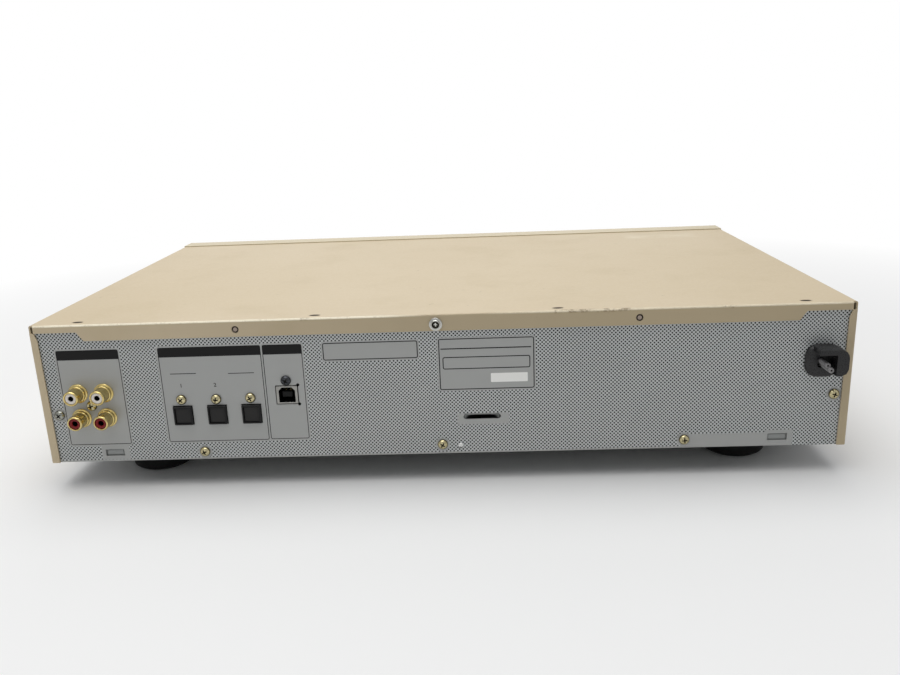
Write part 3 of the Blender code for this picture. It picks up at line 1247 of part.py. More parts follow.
def make_spindle():
    """The motor under the disc and the turntable with its tapered nose."""
    centre = (SLOT_X, SPINDLE_Y, 0)
    can_top = SLOT_Z - SPINDLE_DROP
    shaft_top = SLOT_Z - SPINDLE_SHAFT_DROP
    can = [
        (DRIVE_FLOOR + GAP, 0.0),
        (DRIVE_FLOOR + GAP, SPINDLE_RADIUS),
        (can_top, SPINDLE_RADIUS),
        (can_top, MOTOR_SHAFT),
        (shaft_top, MOTOR_SHAFT),
        (shaft_top, 0.0),
    ]
    part("spindle_motor", STEEL, turned(can, centre, "Z", 20))
    disc_z = SLOT_Z - TURNTABLE_DROP
    under_z = disc_z - TURNTABLE_THICKNESS
    nose_low, nose_top, nose_rise = TURNTABLE_NOSE
    bore = MOTOR_SHAFT + GAP
    table = [
        (can_top + GAP, bore),
        (can_top + GAP, TURNTABLE_NECK),
        (under_z, TURNTABLE_NECK),
        (under_z, TURNTABLE_RADIUS),
        (disc_z, TURNTABLE_RADIUS),
        (disc_z, nose_low),
        (disc_z + nose_rise, nose_top),
        (disc_z + nose_rise, 0.0),
        (shaft_top + GAP, 0.0),
        (shaft_top + GAP, bore),
    ]
    turntable = turned(table, centre, "Z", 20)
    part("turntable", ALUMINIUM, turntable, origin=(SLOT_X, SPINDLE_Y, disc_z))


def make_sled():
    """The lens sled on its two rods, with its rack and the ears of the head's hinge."""
    shoulder = ROD_Z + SLED_SHOULDER
    low_crown, high_crown = SLED_CROWN
    section = [
        (SLOT_X - SLED_SIDE, SLED_FLOOR),
        (SLOT_X + SLED_SIDE, SLED_FLOOR),
        (SLOT_X + SLED_SIDE, shoulder),
        (SLOT_X + low_crown, shoulder),
        (SLOT_X + high_crown, SLED_TOP),
        (SLOT_X - high_crown, SLED_TOP),
        (SLOT_X - low_crown, shoulder),
        (SLOT_X - SLED_SIDE, shoulder),
    ]
    end = SLED_Y + SLED_LENGTH
    sled = prism(section, "Y", SLED_Y, end)
    base, ring, crown = LENS_RADII
    lens_profile = [
        (SLED_TOP - 0.0005, 0.0),
        (SLED_TOP - 0.0005, base),
        (SLED_TOP + 0.0009, ring),
        (SLED_TOP + 0.0012, crown),
        (SLED_TOP + 0.0016, 0.0),
    ]
    lens = turned(lens_profile, (SLOT_X, SLED_Y + LENS_PLACE, 0), "Z", 16)
    half_depth, ear_rise = HEAD_EAR_SIZE
    tail_width, tail_rise = SLED_TAIL
    low = (SLOT_X - tail_width / 2, end - 0.0005, SLED_FLOOR)
    tail = block(low, (SLOT_X + tail_width / 2, HEAD_HINGE_Y + half_depth - 0.0001, SLED_FLOOR + tail_rise))
    near, far = HEAD_EARS
    ears = []
    for inner, outer in ((SLOT_X - far, SLOT_X - near), (SLOT_X + near, SLOT_X + far)):
        low = (inner, HEAD_HINGE_Y - half_depth, SLED_FLOOR + MARGIN)
        ears.append(block(low, (outer, HEAD_HINGE_Y + half_depth, HEAD_HINGE_Z + ear_rise)))
    rack_extra, rack_rise = SLED_RACK
    rack_end = SLED_Y + SLED_TRAVEL + rack_extra
    root = SLED_PITCH_X + GEAR_DEDENDUM
    inside = SLOT_X - SLED_SIDE + 0.0005
    edge = rack_edge(SLED_Y, rack_end, SLED_GEAR_Y, SLED_PITCH_X, -1)
    teeth = [(across, along) for along, across in edge]
    outline = [(root, SLED_Y)] + teeth + [(root, rack_end), (inside, rack_end), (inside, SLED_Y)]
    rack = prism(outline, "Z", SLED_FLOOR, SLED_FLOOR + rack_rise)
    bores = []
    for sign in (-1, 1):
        axis = (SLOT_X + sign * ROD_SPACING, 0, ROD_Z)
        bores.append(rod(axis, "Y", SLED_Y - MARGIN, end + MARGIN, ROD_RADIUS + GAP, 12))
    hinge = (SLOT_X, HEAD_HINGE_Y, HEAD_HINGE_Z)
    hinge_bore = rod(hinge, "X", -far - MARGIN, far + MARGIN, HEAD_HINGE_RADIUS + GAP, 10)
    steps = [join(lens), join(tail), join(merged(ears)), join(rack), cut(merged(bores)), cut(hinge_bore)]
    part("pickup_sled", GREY_PLASTIC, sled, *steps, origin=(SLOT_X, SLED_Y, ROD_Z))


def make_sled_gear():
    """The gear on the sled's rack and the motor that turns it."""
    bottom = SLED_FLOOR - 0.0002
    top = bottom + SLED_GEAR_WIDTH
    centre = (SLED_GEAR_X, SLED_GEAR_Y, 0)
    wheel = prism(gear_outline((SLED_GEAR_X, SLED_GEAR_Y), 0.0), "Z", bottom, top)
    bore = rod(centre, "Z", bottom - MARGIN, top + MARGIN, MOTOR_SHAFT + GAP, 10)
    part("sled_gear", WHITE_PLASTIC, wheel, cut(bore), origin=(SLED_GEAR_X, SLED_GEAR_Y, bottom))
    motor = [
        (DRIVE_FLOOR + GAP, 0.0),
        (DRIVE_FLOOR + GAP, SLED_MOTOR_RADIUS),
        (bottom - GAP, SLED_MOTOR_RADIUS),
        (bottom - GAP, MOTOR_SHAFT),
        (top + MARGIN, MOTOR_SHAFT),
        (top + MARGIN, 0.0),
    ]
    part("sled_motor", STEEL, turned(motor, centre, "Z", 16))


def make_head():
    """The recording head: a light arm hinged over the sled, with a shoe that comes down on the disc."""
    pivot = (SLOT_X, HEAD_HINGE_Y, HEAD_HINGE_Z)
    shoe_y = SLED_Y + LENS_PLACE
    width, thick = HEAD_ARM
    half = HEAD_SHOE / 2
    low = (SLOT_X - width / 2, shoe_y - half, HEAD_HINGE_Z - thick / 2)
    arm = block(low, (SLOT_X + width / 2, HEAD_HINGE_Y, HEAD_HINGE_Z + thick / 2))
    radius, reach = HEAD_BARREL
    barrel = rod(pivot, "X", -reach, reach, radius, 12)
    pin = rod(pivot, "X", -HEAD_PIN, HEAD_PIN, HEAD_HINGE_RADIUS, 10)
    low = (SLOT_X - half, shoe_y - half, HOLDER_TOP + HEAD_CLEARANCE)
    shoe = block(low, (SLOT_X + half, shoe_y + half, HEAD_HINGE_Z))
    part("recording_head", STEEL, arm, join(barrel), join(pin), join(shoe), origin=pivot)


def make_boards():
    """The main board with its chips, the filter capacitor and the finned heat sink on it."""
    width, deep = MAIN_BOARD_SIZE
    x0 = MAIN_BOARD_X - width / 2
    y0 = MAIN_BOARD_REAR - deep
    board = block((x0, y0, BOARD_Z), (x0 + width, y0 + deep, BOARD_TOP_Z))
    chips = []
    for (across, along), size in zip(CHIP_PLACES, CHIP_SIZES):
        x, y = x0 + across * width - size / 2, y0 + along * deep - size / 2
        chips.append(block((x, y, BOARD_Z + BOARD / 2), (x + size, y + size, BOARD_TOP_Z + CHIP_RISE)))
    part("main_board", CIRCUIT, board, join(merged(chips)))
    low_z = BOARD_TOP_Z + GAP
    y = y0 + POWER_PARTS_FRONT
    radius, tall, edge = CAPACITOR
    can_top = BOARD_TOP_Z + tall
    can = [(low_z, 0.0), (low_z, radius), (can_top - edge, radius)]
    can += [(can_top, radius - edge), (can_top, 0.0)]
    part("filter_capacitor", BLACK_PLASTIC, turned(can, (x0 + CAPACITOR_X, y, 0), "Z", 20))
    width, deep, tall = SINK
    top = BOARD_TOP_Z + tall
    x = x0 + SINK_X
    spine = block((x - width / 2, y - SINK_PLATE / 2, low_z), (x + width / 2, y + SINK_PLATE / 2, top))
    fins = []
    for i in range(SINK_FINS):
        fin_x = x + (i - (SINK_FINS - 1) / 2) * SINK_PITCH - SINK_FIN / 2
        fins.append(block((fin_x, y - deep, low_z), (fin_x + SINK_FIN, y, top)))
    part("heat_sink", ALUMINIUM, spine, join(merged(fins)))


def make_transformer():
    """The mains transformer: a stack of laminations, its windings and a mounting foot."""
    x, y = TRANSFORMER_X, TRANSFORMER_Y
    across, deep, tall = TRANSFORMER
    low = PAN_TOP_Z + GAP
    top = low + tall
    core = block((x - across / 2, y - deep / 4, low), (x + across / 2, y + deep / 4, top), 0.0010)
    side = across / 4
    high = (x + side, y + deep / 2, low + tall * 0.8)
    windings = block((x - side, y - deep / 2, low + tall * 0.2), high, 0.0030, 2)
    foot_depth, foot_rise = TRANSFORMER_FOOT
    side = across * 0.68
    foot = block((x - side, y - foot_depth / 2, low), (x + side, y + foot_depth / 2, low + foot_rise))
    part("power_transformer", IRON, core, join(windings), join(foot))


make_cover()
make_pan()
make_feet()
make_rear_panel()
make_analogue_sockets()
make_optical_sockets()
make_usb()
make_bush()
make_cover_screw()
make_front_panel()
make_slot()
make_display()
make_buttons()
make_front_board()
make_jog()
make_level()
make_phones()
make_drive()
make_holder()
make_loading()
make_spindle()
make_sled()
make_sled_gear()
make_head()
make_boards()
make_transformer()
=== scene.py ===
# %% [markdown]
# # A minidisc deck seen from behind
#
# The deck is a full-width hi-fi component: a folded steel cover, a printed rear panel with
# sockets, and a moulded front with a loading slot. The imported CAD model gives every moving
# body. This script adds the finishes, the small fasteners and the trim around it.

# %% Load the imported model
import json
import math

import bpy
from mathutils import Matrix, Vector


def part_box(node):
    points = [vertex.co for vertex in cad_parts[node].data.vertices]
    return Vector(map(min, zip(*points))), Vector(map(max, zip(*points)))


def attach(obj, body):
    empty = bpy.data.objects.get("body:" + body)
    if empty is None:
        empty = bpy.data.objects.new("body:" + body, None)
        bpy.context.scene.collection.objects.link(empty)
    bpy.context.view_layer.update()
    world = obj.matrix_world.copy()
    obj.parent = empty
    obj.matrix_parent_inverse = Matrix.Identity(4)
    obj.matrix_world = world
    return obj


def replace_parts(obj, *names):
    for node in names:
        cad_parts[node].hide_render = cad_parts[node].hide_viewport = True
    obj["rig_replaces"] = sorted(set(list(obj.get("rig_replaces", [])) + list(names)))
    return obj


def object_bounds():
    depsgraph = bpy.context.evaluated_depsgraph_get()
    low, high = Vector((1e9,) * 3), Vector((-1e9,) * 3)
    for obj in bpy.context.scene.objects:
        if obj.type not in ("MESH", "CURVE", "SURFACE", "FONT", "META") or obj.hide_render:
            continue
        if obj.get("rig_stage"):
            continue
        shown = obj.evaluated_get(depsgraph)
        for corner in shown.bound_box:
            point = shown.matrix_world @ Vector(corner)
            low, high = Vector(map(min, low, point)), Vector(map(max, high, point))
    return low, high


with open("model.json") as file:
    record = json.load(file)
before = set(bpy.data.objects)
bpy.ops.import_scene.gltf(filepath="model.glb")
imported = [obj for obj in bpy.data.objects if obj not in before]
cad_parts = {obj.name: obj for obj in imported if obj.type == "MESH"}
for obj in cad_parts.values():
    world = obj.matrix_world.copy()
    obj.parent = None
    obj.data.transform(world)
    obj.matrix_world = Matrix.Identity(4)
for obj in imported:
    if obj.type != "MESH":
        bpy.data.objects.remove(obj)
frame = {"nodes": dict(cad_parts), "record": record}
cad_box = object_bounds()
nodes = frame["nodes"]
print("CAD box", [tuple(round(value, 4) for value in corner) for corner in cad_box])

# %% [markdown]
# ## Planes that the added pieces sit on
#
# A screw or a printed mark has to touch the surface that carries it. Each plane is read from
# the CAD nodes, so a change of the model moves everything with it. The rear panel's printed
# face lies a little inside its node's box, and ink stands a hair above the paint. Heights on
# the panels are given above the cover's lower edge, in millimetres, as they were measured.

# %% Planes and millimetres
MM = 0.001
PANEL_INSET = 0.95 * MM
INK = 0.03 * MM
REAR_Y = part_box("top_cover")[1].y
PANEL_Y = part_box("rear_panel")[1].y - PANEL_INSET
FRONT_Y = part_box("front_panel")[0].y
BASE_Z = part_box("top_cover")[0].z
TOP_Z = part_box("top_cover")[1].z
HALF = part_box("top_cover")[1].x


def middle(node):
    """The middle of a node's box at rest."""
    low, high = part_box(node)
    return (Vector(low) + Vector(high)) / 2


print("rear", round(REAR_Y, 4), "panel", round(PANEL_Y, 4), "front", round(FRONT_Y, 4))

# %% [markdown]
# ## Camera
#
# The photograph was taken by hand from behind, a little above the deck and near its middle.
# The place, the turn and the lens come from fitting a camera to the corners of the cover,
# which a 430 mm width fixes in scale.

# %% Camera
bpy.ops.object.camera_add(
    location=(-0.024, 0.5480, 0.1992),
    rotation=[math.radians(angle) for angle in (74.1412, 2.2017, -178.3113)],
)
camera = bpy.context.object
camera.name = "photo_camera"
camera.data.lens = 33.26
camera.data.sensor_width = 36.0
camera.data.clip_start = 0.01
bpy.context.scene.camera = camera
print("camera", camera.data.lens, "mm lens")

# %% [markdown]
# ## Light, floor and background
#
# A product photograph has one broad light overhead and pale walls around. The broad lamp
# makes the cover the brightest face and leaves the rear panel in soft shade. The walls are
# the world's colour, and a Light Path node makes them white to the camera and half as
# bright in reflections, so that plated metal has dark sides as it has in a room.


# %% Small helpers for node materials
def linear(hex_colour):
    """An sRGB hex colour as the linear values that shaders use."""
    channels = [int(hex_colour[i : i + 2], 16) / 255 for i in (1, 3, 5)]
    return (*[c / 12.92 if c <= 0.04045 else ((c + 0.055) / 1.055) ** 2.4 for c in channels], 1.0)


def add_node(tree, kind, inputs=None, output=0, **settings):
    """One node with its settings and links; an input is a value or the output of another node."""
    made = tree.nodes.new("ShaderNode" + kind)
    for name, value in settings.items():
        setattr(made, name, value)
    for socket, value in (inputs or {}).items():
        if isinstance(value, bpy.types.NodeSocket):
            tree.links.new(value, made.inputs[socket])
        else:
            made.inputs[socket].default_value = value
    return made.outputs[output] if made.outputs else made


# %% World
world = bpy.data.worlds.new("studio")
bpy.context.scene.world = world
world.use_nodes = True
air = world.node_tree
air.nodes.clear()
rays = add_node(air, "LightPath").node.outputs
seen = add_node(air, "Math", {0: rays["Is Glossy Ray"], 1: 0.45}, operation="MULTIPLY")
for ray in ("Is Camera Ray", "Is Transmission Ray"):
    seen = add_node(air, "Math", {0: seen, 1: rays[ray]}, operation="MAXIMUM")
fill = add_node(air, "Background", {"Color": linear("#F4F6FA"), "Strength": 0.24})
white = add_node(air, "Background", {"Color": linear("#FFFFFF"), "Strength": 1.0})
add_node(air, "OutputWorld", {"Surface": add_node(air, "MixShader", {0: seen, 1: fill, 2: white})})
print("world nodes", len(air.nodes))


# %% Lamps
def soft_lamp(name, place, target, size, power):
    """A square area lamp that points at the target."""
    bpy.ops.object.light_add(type="AREA", location=place)
    lamp = bpy.context.object
    lamp.name = name
    lamp.data.size = size
    lamp.data.energy = power
    lamp.rotation_euler = (Vector(target) - Vector(place)).to_track_quat("-Z", "Y").to_euler()


soft_lamp("overhead", (0.12, 0.08, 1.12), (0.01, 0, 0.05), 1.3, 12.7)
soft_lamp("behind_fill", (0.55, 1.30, 0.65), (0.05, 0.1, 0.05), 0.9, 0.5)
soft_lamp("front_fill", (0.1, -1.5, 0.75), (0, -0.1, 0.05), 1.6, 4.5)

# %% Floor
bpy.ops.object.select_all(action="DESELECT")
bpy.ops.mesh.primitive_plane_add(size=12.0, location=(0, 0, -0.0001))
floor = bpy.context.object
floor.name = "floor"
floor_paint = bpy.data.materials.new("floor_paint")
floor_paint.use_nodes = True
ground = floor_paint.node_tree
shader = ground.nodes["Principled BSDF"]
shader.inputs["Base Color"].default_value = linear("#F2F2F1")
shader.inputs["Roughness"].default_value = 0.75
away = add_node(ground, "TexCoord", output="Object")
away = add_node(ground, "VectorMath", {0: away}, "Value", operation="LENGTH")
away = add_node(ground, "MapRange", {0: away, 1: 0.20, 2: 0.75})
eye = add_node(ground, "LightPath", output="Is Camera Ray")
away = add_node(ground, "Math", {0: away, 1: eye}, operation="MULTIPLY")
glow = add_node(ground, "Emission", {"Color": linear("#FFFFFF"), "Strength": 1.0})
faded = add_node(ground, "MixShader", {0: away, 1: shader.outputs[0], 2: glow})
ground.links.new(faded, ground.nodes["Material Output"].inputs["Surface"])
floor.data.materials.append(floor_paint)
floor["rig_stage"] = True
print("floor", floor.dimensions.x, "m wide")

# %% [markdown]
# ## How the finishes are made
#
# Every finish starts from Object coordinates, which are real metres here, so a pattern's
# scale is its real size. Two noises do most of the work: a wide one lets the colour drift as
# handling and dust do, and a fine one gives the relief of the paint, casting or sheet. The
# fine noise also moves the roughness, so highlights break up.


# %% One recipe for a plain finish
def finish(
    name, dark, light, tone_mm, grain_mm, relief_mm, rough,
    metal=0.0, spread=0.06, specular=0.5, coat=0.0,
):
    """Two close colours drifting over tone_mm; a relief of grain_mm also moves the roughness."""
    material = bpy.data.materials.new(name)
    material.use_nodes = True
    tree = material.node_tree
    shader = tree.nodes["Principled BSDF"]
    place = add_node(tree, "TexCoord", output="Object")
    tone, grain = (
        add_node(tree, "TexNoise", {"Vector": place, "Scale": 1 / (size * MM), "Detail": detail})
        for size, detail in ((tone_mm, 3.0), (grain_mm, 2.0))
    )
    shades = {0: tone, 6: linear(dark), 7: linear(light)}
    uneven = {0: grain, 1: 0.3, 2: 0.7, 3: rough - spread, 4: rough + spread}
    relief = {"Height": grain, "Distance": relief_mm * MM}
    colour = add_node(tree, "Mix", shades, 2, data_type="RGBA")
    tree.links.new(colour, shader.inputs["Base Color"])
    tree.links.new(add_node(tree, "MapRange", uneven), shader.inputs["Roughness"])
    tree.links.new(add_node(tree, "Bump", relief), shader.inputs["Normal"])
    levels = {"Metallic": metal, "Specular IOR Level": specular, "Coat Weight": coat}
    for socket, value in levels.items():
        shader.inputs[socket].default_value = value
    return material


# %% [markdown]
# ## Plain finishes
#
# The deck has nearly thirty of them. Plated and passivated steel are metals with a low
# roughness. Moulded ABS, nylon and acetal are plastics with a fine spark-eroded grain. The
# circuit boards, the transformer and the motors sit inside, where little light reaches.

# %% Metals
plated_gold = finish("gold_plated_brass", "#C0A55C", "#EDDCA0", 3, 0.5, 0.004, 0.17, 1.0, 0.05)
yellow_zinc = finish("yellow_passivated_steel", "#82774A", "#F2E7BE", 1.1, 0.4, 0.006, 0.15, 1.0)
# A painted dark reflection for the rims of the yellow screws.
reflection_rim_zinc = finish("painted_dark_rim_reflection", "#3C351E", "#7D7348", 1.1, 0.4, 0.006, 0.28, 1.0)
dull_zinc = finish("dull_passivated_steel", "#2E2F2B", "#CFD0C6", 1.1, 0.4, 0.006, 0.18, 1.0)
nickel = finish("nickel_plated_steel", "#B4B3AE", "#D6D5CF", 6, 0.5, 0.004, 0.24, 1.0)
dark_chrome = finish("dark_chromed_steel", "#26272A", "#5C5E62", 1.1, 0.5, 0.004, 0.16, 1.0)
# Painted shade for the screw recesses, the cover screw's dish and the dimple's lower side.
recess_shade = finish("recess_painted_shade", "#17140E", "#2B2518", 1, 0.3, 0.010, 0.45, 0.6)
bright_steel = finish("ground_steel", "#B8B8B6", "#D0D0CE", 8, 0.3, 0.003, 0.22, 1.0)
# A pale steel for the dimple, a painted highlight.
dimple_highlight_steel = finish("dimple_painted_highlight", "#D8D8D6", "#F2F2F0", 2, 0.3, 0.003, 0.35, 0.4)
turned_aluminium = finish("turned_aluminium", "#C2C0BA", "#D8D6D0", 12, 0.3, 0.004, 0.30, 1.0)
iron_core = finish("varnished_iron_core", "#2F2C2A", "#45403B", 6, 0.6, 0.030, 0.50, 0.5)
copper = finish("oxidised_copper_strands", "#1C1613", "#2E2621", 0.5, 0.2, 0.020, 0.55, 0.6)
print("metals up to", copper.name)

# %% Plastics, rubber, glass and paint
black_abs = finish("moulded_black_abs", "#161616", "#202020", 14, 0.35, 0.020, 0.46, specular=0.22)
black_nylon = finish("moulded_black_nylon", "#19191A", "#232223", 5, 0.5, 0.030, 0.30, specular=0.4)
deep_black = finish("moulded_black_pbt", "#0A0A0A", "#101010", 8, 0.3, 0.010, 0.5, specular=0.2)
grey_abs = finish("moulded_grey_abs", "#20201F", "#2C2B2A", 12, 0.35, 0.015, 0.46, specular=0.25)
smoked_acrylic = finish(
    "smoked_acrylic_sheet", "#120F0E", "#171413", 60, 2.0, 0.0005, 0.07, spread=0.015, coat=0.6
)
champagne_abs = finish("painted_abs", "#C3B593", "#CDBF9F", 70, 0.45, 0.006, 0.40, 0.15)
acetal = finish("white_acetal", "#E2DFD6", "#EEECE4", 20, 0.5, 0.006, 0.42)
white_sleeve = finish("white_nylon_sleeve", "#E4DCD4", "#F4EEE8", 3, 0.4, 0.004, 0.38)
red_sleeve = finish("red_nylon_sleeve", "#6A0B0E", "#8A1519", 3, 0.4, 0.004, 0.36, specular=0.3)
rubber = finish("moulded_foot_rubber", "#171716", "#22211F", 10, 0.5, 0.030, 0.78)
sheath = finish("grey_pvc_sheath", "#7C7A7B", "#929090", 5, 0.4, 0.020, 0.50)
board_green = finish("green_solder_mask", "#1E4A24", "#2F6A33", 7, 0.8, 0.010, 0.34)
display_glass = finish("display_tube_glass", "#141C1C", "#1B2626", 20, 1.0, 0.001, 0.12)
dark_print = finish("dark_ink_print", "#2A2622", "#332F2A", 6, 0.3, 0.002, 0.55)
red_print = finish("red_ink_print", "#9C1F1C", "#AE2A24", 6, 0.3, 0.002, 0.50)
red_lens = finish("red_lens", "#5E0C0A", "#7A1411", 2, 0.5, 0.001, 0.12, coat=0.5)
print("plastics and inks up to", red_lens.name)

# %% [markdown]
# ## A soft box, patches, and stains and painted light
#
# Wear, prints and painted light need a place. A box in Object coordinates gives one: the
# distance past each face is taken, the largest of the three counts, and a range turns it into a
# mask that is 1 inside and falls to 0 over a soft border. A stretched noise gives the patches in
# it. A stain, a print or painted light lays one more colour over a finish where all its masks
# meet.


# %% A soft box in object coordinates
def past_faces(tree, place, low, high):
    """How far a point is past the faces of a box on each axis, less than 0 between them."""
    centre = [(a + b) / 2 for a, b in zip(low, high)]
    half = [(b - a) / 2 for a, b in zip(low, high)]
    past = add_node(tree, "VectorMath", {0: place, 1: centre}, operation="SUBTRACT")
    past = add_node(tree, "VectorMath", {0: past}, operation="ABSOLUTE")
    return add_node(tree, "VectorMath", {0: past, 1: half}, operation="SUBTRACT")


def inside(tree, place, low, high, soft):
    """1 inside a box given by its corners in metres, falling to 0 over a soft border."""
    axes = add_node(tree, "SeparateXYZ", {0: past_faces(tree, place, low, high)}).node.outputs
    most = add_node(tree, "Math", {0: axes[0], 1: axes[1]}, operation="MAXIMUM")
    most = add_node(tree, "Math", {0: most, 1: axes[2]}, operation="MAXIMUM")
    return add_node(tree, "MapRange", {0: most, 1: 0.0, 2: soft, 3: 1.0, 4: 0.0})


# %% Patches, and stains and painted light held by masks
def patches(tree, place, sizes_mm, detail, rough, levels, turn=0.0):
    """A noise of one size for each axis; levels are the range's two ends and two results."""
    stretch = {"Scale": [1 / (size * MM) for size in sizes_mm], "Rotation": (0.0, 0.0, turn)}
    spots = add_node(tree, "Mapping", {"Vector": place, **stretch})
    noise = {"Vector": spots, "Scale": 1.0, "Detail": detail, "Roughness": rough}
    spots = add_node(tree, "TexNoise", noise)
    return add_node(tree, "MapRange", {0: spots, **dict(enumerate(levels, 1))})


def lay_stain_or_painted_light(tree, shade, *masks):
    """A colour over the base colour where all masks meet: a stain, a print or painted light."""
    meet = masks[0]
    for mask in masks[1:]:
        meet = add_node(tree, "Math", {0: meet, 1: mask}, operation="MULTIPLY")
    base = tree.nodes["Principled BSDF"].inputs["Base Color"]
    layers = {0: meet, 6: base.links[0].from_socket, 7: linear(shade)}
    tree.links.new(add_node(tree, "Mix", layers, 2, data_type="RGBA"), base)


print("masks and stains ready")

# %% [markdown]
# ## Painted steel of the cover
#
# The cover is steel with a satin champagne enamel. Such paint has a faint orange peel about
# 1.5 mm wide. This one has seen use: pale rubbed streaks and small grey specks on the top, and
# small brown chips along the rear fold where the paint is thin. A pale line along the fold is
# a painted highlight. The upright sheet at the rear is darkened by painted shade, more toward
# the cord's side, and a dark lens of painted shade lies round each of the four slots.

# %% Champagne enamel with specks, grime, rubbed streaks and painted shade on the upright sheet
champagne = finish(
    "champagne_enamel_on_steel", "#C8B797", "#D3C3A7", 130, 1.5, 0.008, 0.50, specular=0.30
)
tree = champagne.node_tree
place = add_node(tree, "TexCoord", output="Object")
for sizes_mm, turn, detail, rough, levels, shade in (
    ((9, 9, 9), 0.0, 6.0, 0.72, (0.66, 0.72, 0.0, 0.45), "#93866A"),
    ((48, 48, 48), 0.0, 4.0, 0.60, (0.50, 0.72, 0.0, 0.22), "#B3A078"),
    ((55, 2, 1000), 0.06, 3.0, 0.50, (0.60, 0.76, 0.0, 0.14), "#DED0AC"),
):
    lay_stain_or_painted_light(tree, shade, patches(tree, place, sizes_mm, detail, rough, levels, turn))
# Painted shade: sheet that faces the rear is darkened, more toward the cord's side.
facing = add_node(tree, "TexCoord", output="Normal")
facing = add_node(tree, "SeparateXYZ", {0: facing}).node.outputs[1]
upright_painted_shade = add_node(tree, "MapRange", {0: facing, 1: 0.70, 2: 0.95, 3: 0.0, 4: 0.50})
sideways = add_node(tree, "SeparateXYZ", {0: place}).node.outputs[0]
sideways = add_node(tree, "MapRange", {0: sideways, 1: 0.01, 2: 0.15, 3: 1.0, 4: 0.0})
lay_stain_or_painted_light(tree, "#A89878", upright_painted_shade, sideways)
print("enamel", len(tree.nodes), "nodes so far")

# %% Places of painted light and wear in millimetres: both ends along X and a strength, or along X and Y
FOLD_PAINTED_HIGHLIGHT = ((-205, -50, 0.5), (30, 205, 1.0))
CHIPS = ((-100, -62, 0.75), (-152, -146, 0.6), (62, 70, 0.5))
SLOTS_X = (-190.5, -63.6, 63.6, 190.5)
SLOTS_IN = 5.6
SMEAR = (-182, -142, -92.5, -87.5)
print("chips", len(CHIPS), "slots", len(SLOTS_X))

# %% Painted highlight on the fold, wear, painted shade round the slots, and the smear
# A pale line along the rear fold is a painted highlight, broken into patches.
for left, right, strength in FOLD_PAINTED_HIGHLIGHT:
    corner = (-HALF, REAR_Y - 0.7 * MM, TOP_Z - 0.8 * MM)
    edge = inside(tree, place, corner, (HALF, REAR_Y, TOP_Z), 0.25 * MM)
    reach = inside(tree, place, (left * MM, 0.0, 0.0), (right * MM, 1.0, 1.0), 25 * MM)
    levels = (0.30, 0.50, 0.5 * strength, strength)
    patchy = patches(tree, place, (1.8, 1.8, 1.8), 4.0, 0.75, levels)
    lay_stain_or_painted_light(tree, "#FFF6DE", edge, patchy, reach)
for left, right, strength in CHIPS:
    corner = (left * MM, REAR_Y - 1.3 * MM, TOP_Z - 0.9 * MM)
    edge = inside(tree, place, corner, (right * MM, REAR_Y, TOP_Z), 0.8 * MM)
    flaked = patches(tree, place, (3.5, 3.5, 3.5), 5.0, 0.6, (0.47, 0.62, 0.0, strength))
    lay_stain_or_painted_light(tree, "#7B6443", flaked, edge)
# A dark lens round each slot is painted shade of its opening.
for x in SLOTS_X:
    slot_at = (x * MM, REAR_Y - SLOTS_IN * MM, TOP_Z)
    slot_painted_shade = add_node(tree, "VectorMath", {0: place, 1: slot_at}, operation="SUBTRACT")
    slot_painted_shade = add_node(tree, "VectorMath", {0: slot_painted_shade, 1: (0.6, 1.0, 1.0)}, operation="MULTIPLY")
    slot_painted_shade = add_node(tree, "VectorMath", {0: slot_painted_shade}, "Value", operation="LENGTH")
    slot_painted_shade = add_node(tree, "MapRange", {0: slot_painted_shade, 1: 1.2 * MM, 2: 2.1 * MM, 3: 0.95, 4: 0.0})
    lay_stain_or_painted_light(tree, "#3B2F20", slot_painted_shade)
left, right, near, far = (end * MM for end in SMEAR)
smear = inside(tree, place, (left, near, TOP_Z - MM), (right, far, TOP_Z + MM), 9 * MM)
streaks = patches(tree, place, (30, 1.6, 1000), 3.0, 0.5, (0.42, 0.62, 0.0, 0.55))
lay_stain_or_painted_light(tree, "#E9E1CC", smear, streaks)
print("champagne enamel", len(tree.nodes), "nodes")

# %% [markdown]
# ## Zinc sheet of the bottom pan
#
# The pan is electro-galvanised steel, grey with a faint grain of rolling that runs one way.
# A noise stretched fifty to one gives that grain.

# %% Galvanised sheet
zinc_sheet = finish("galvanised_sheet", "#868887", "#9EA09E", 22, 0.6, 0.006, 0.42, 0.6)
tree = zinc_sheet.node_tree
place = add_node(tree, "TexCoord", output="Object")
rolled = patches(tree, place, (40, 0.8, 0.8), 2.0, 0.5, (0.35, 0.65, 0.0, 0.5))
lay_stain_or_painted_light(tree, "#8A8C8C", rolled)
print("galvanised sheet", len(tree.nodes), "nodes")

# %% [markdown]
# ## Printed rear panel
#
# The rear panel is bright coated steel, silk-screened with a lattice of dark dots, 2 mm from
# dot to dot across, with rows 1 mm apart. The printer left the dots out around the frames,
# the screws and the louvre, and filled the frames with a plain grey. Each frame has a thin
# dark rule with slightly rounded corners, and the three socket frames have a black bar on
# top. The bars, the rating frame and the notice frame stay without words. A product of two
# cosines gives the lattice, and boxes in X and Z clear it.

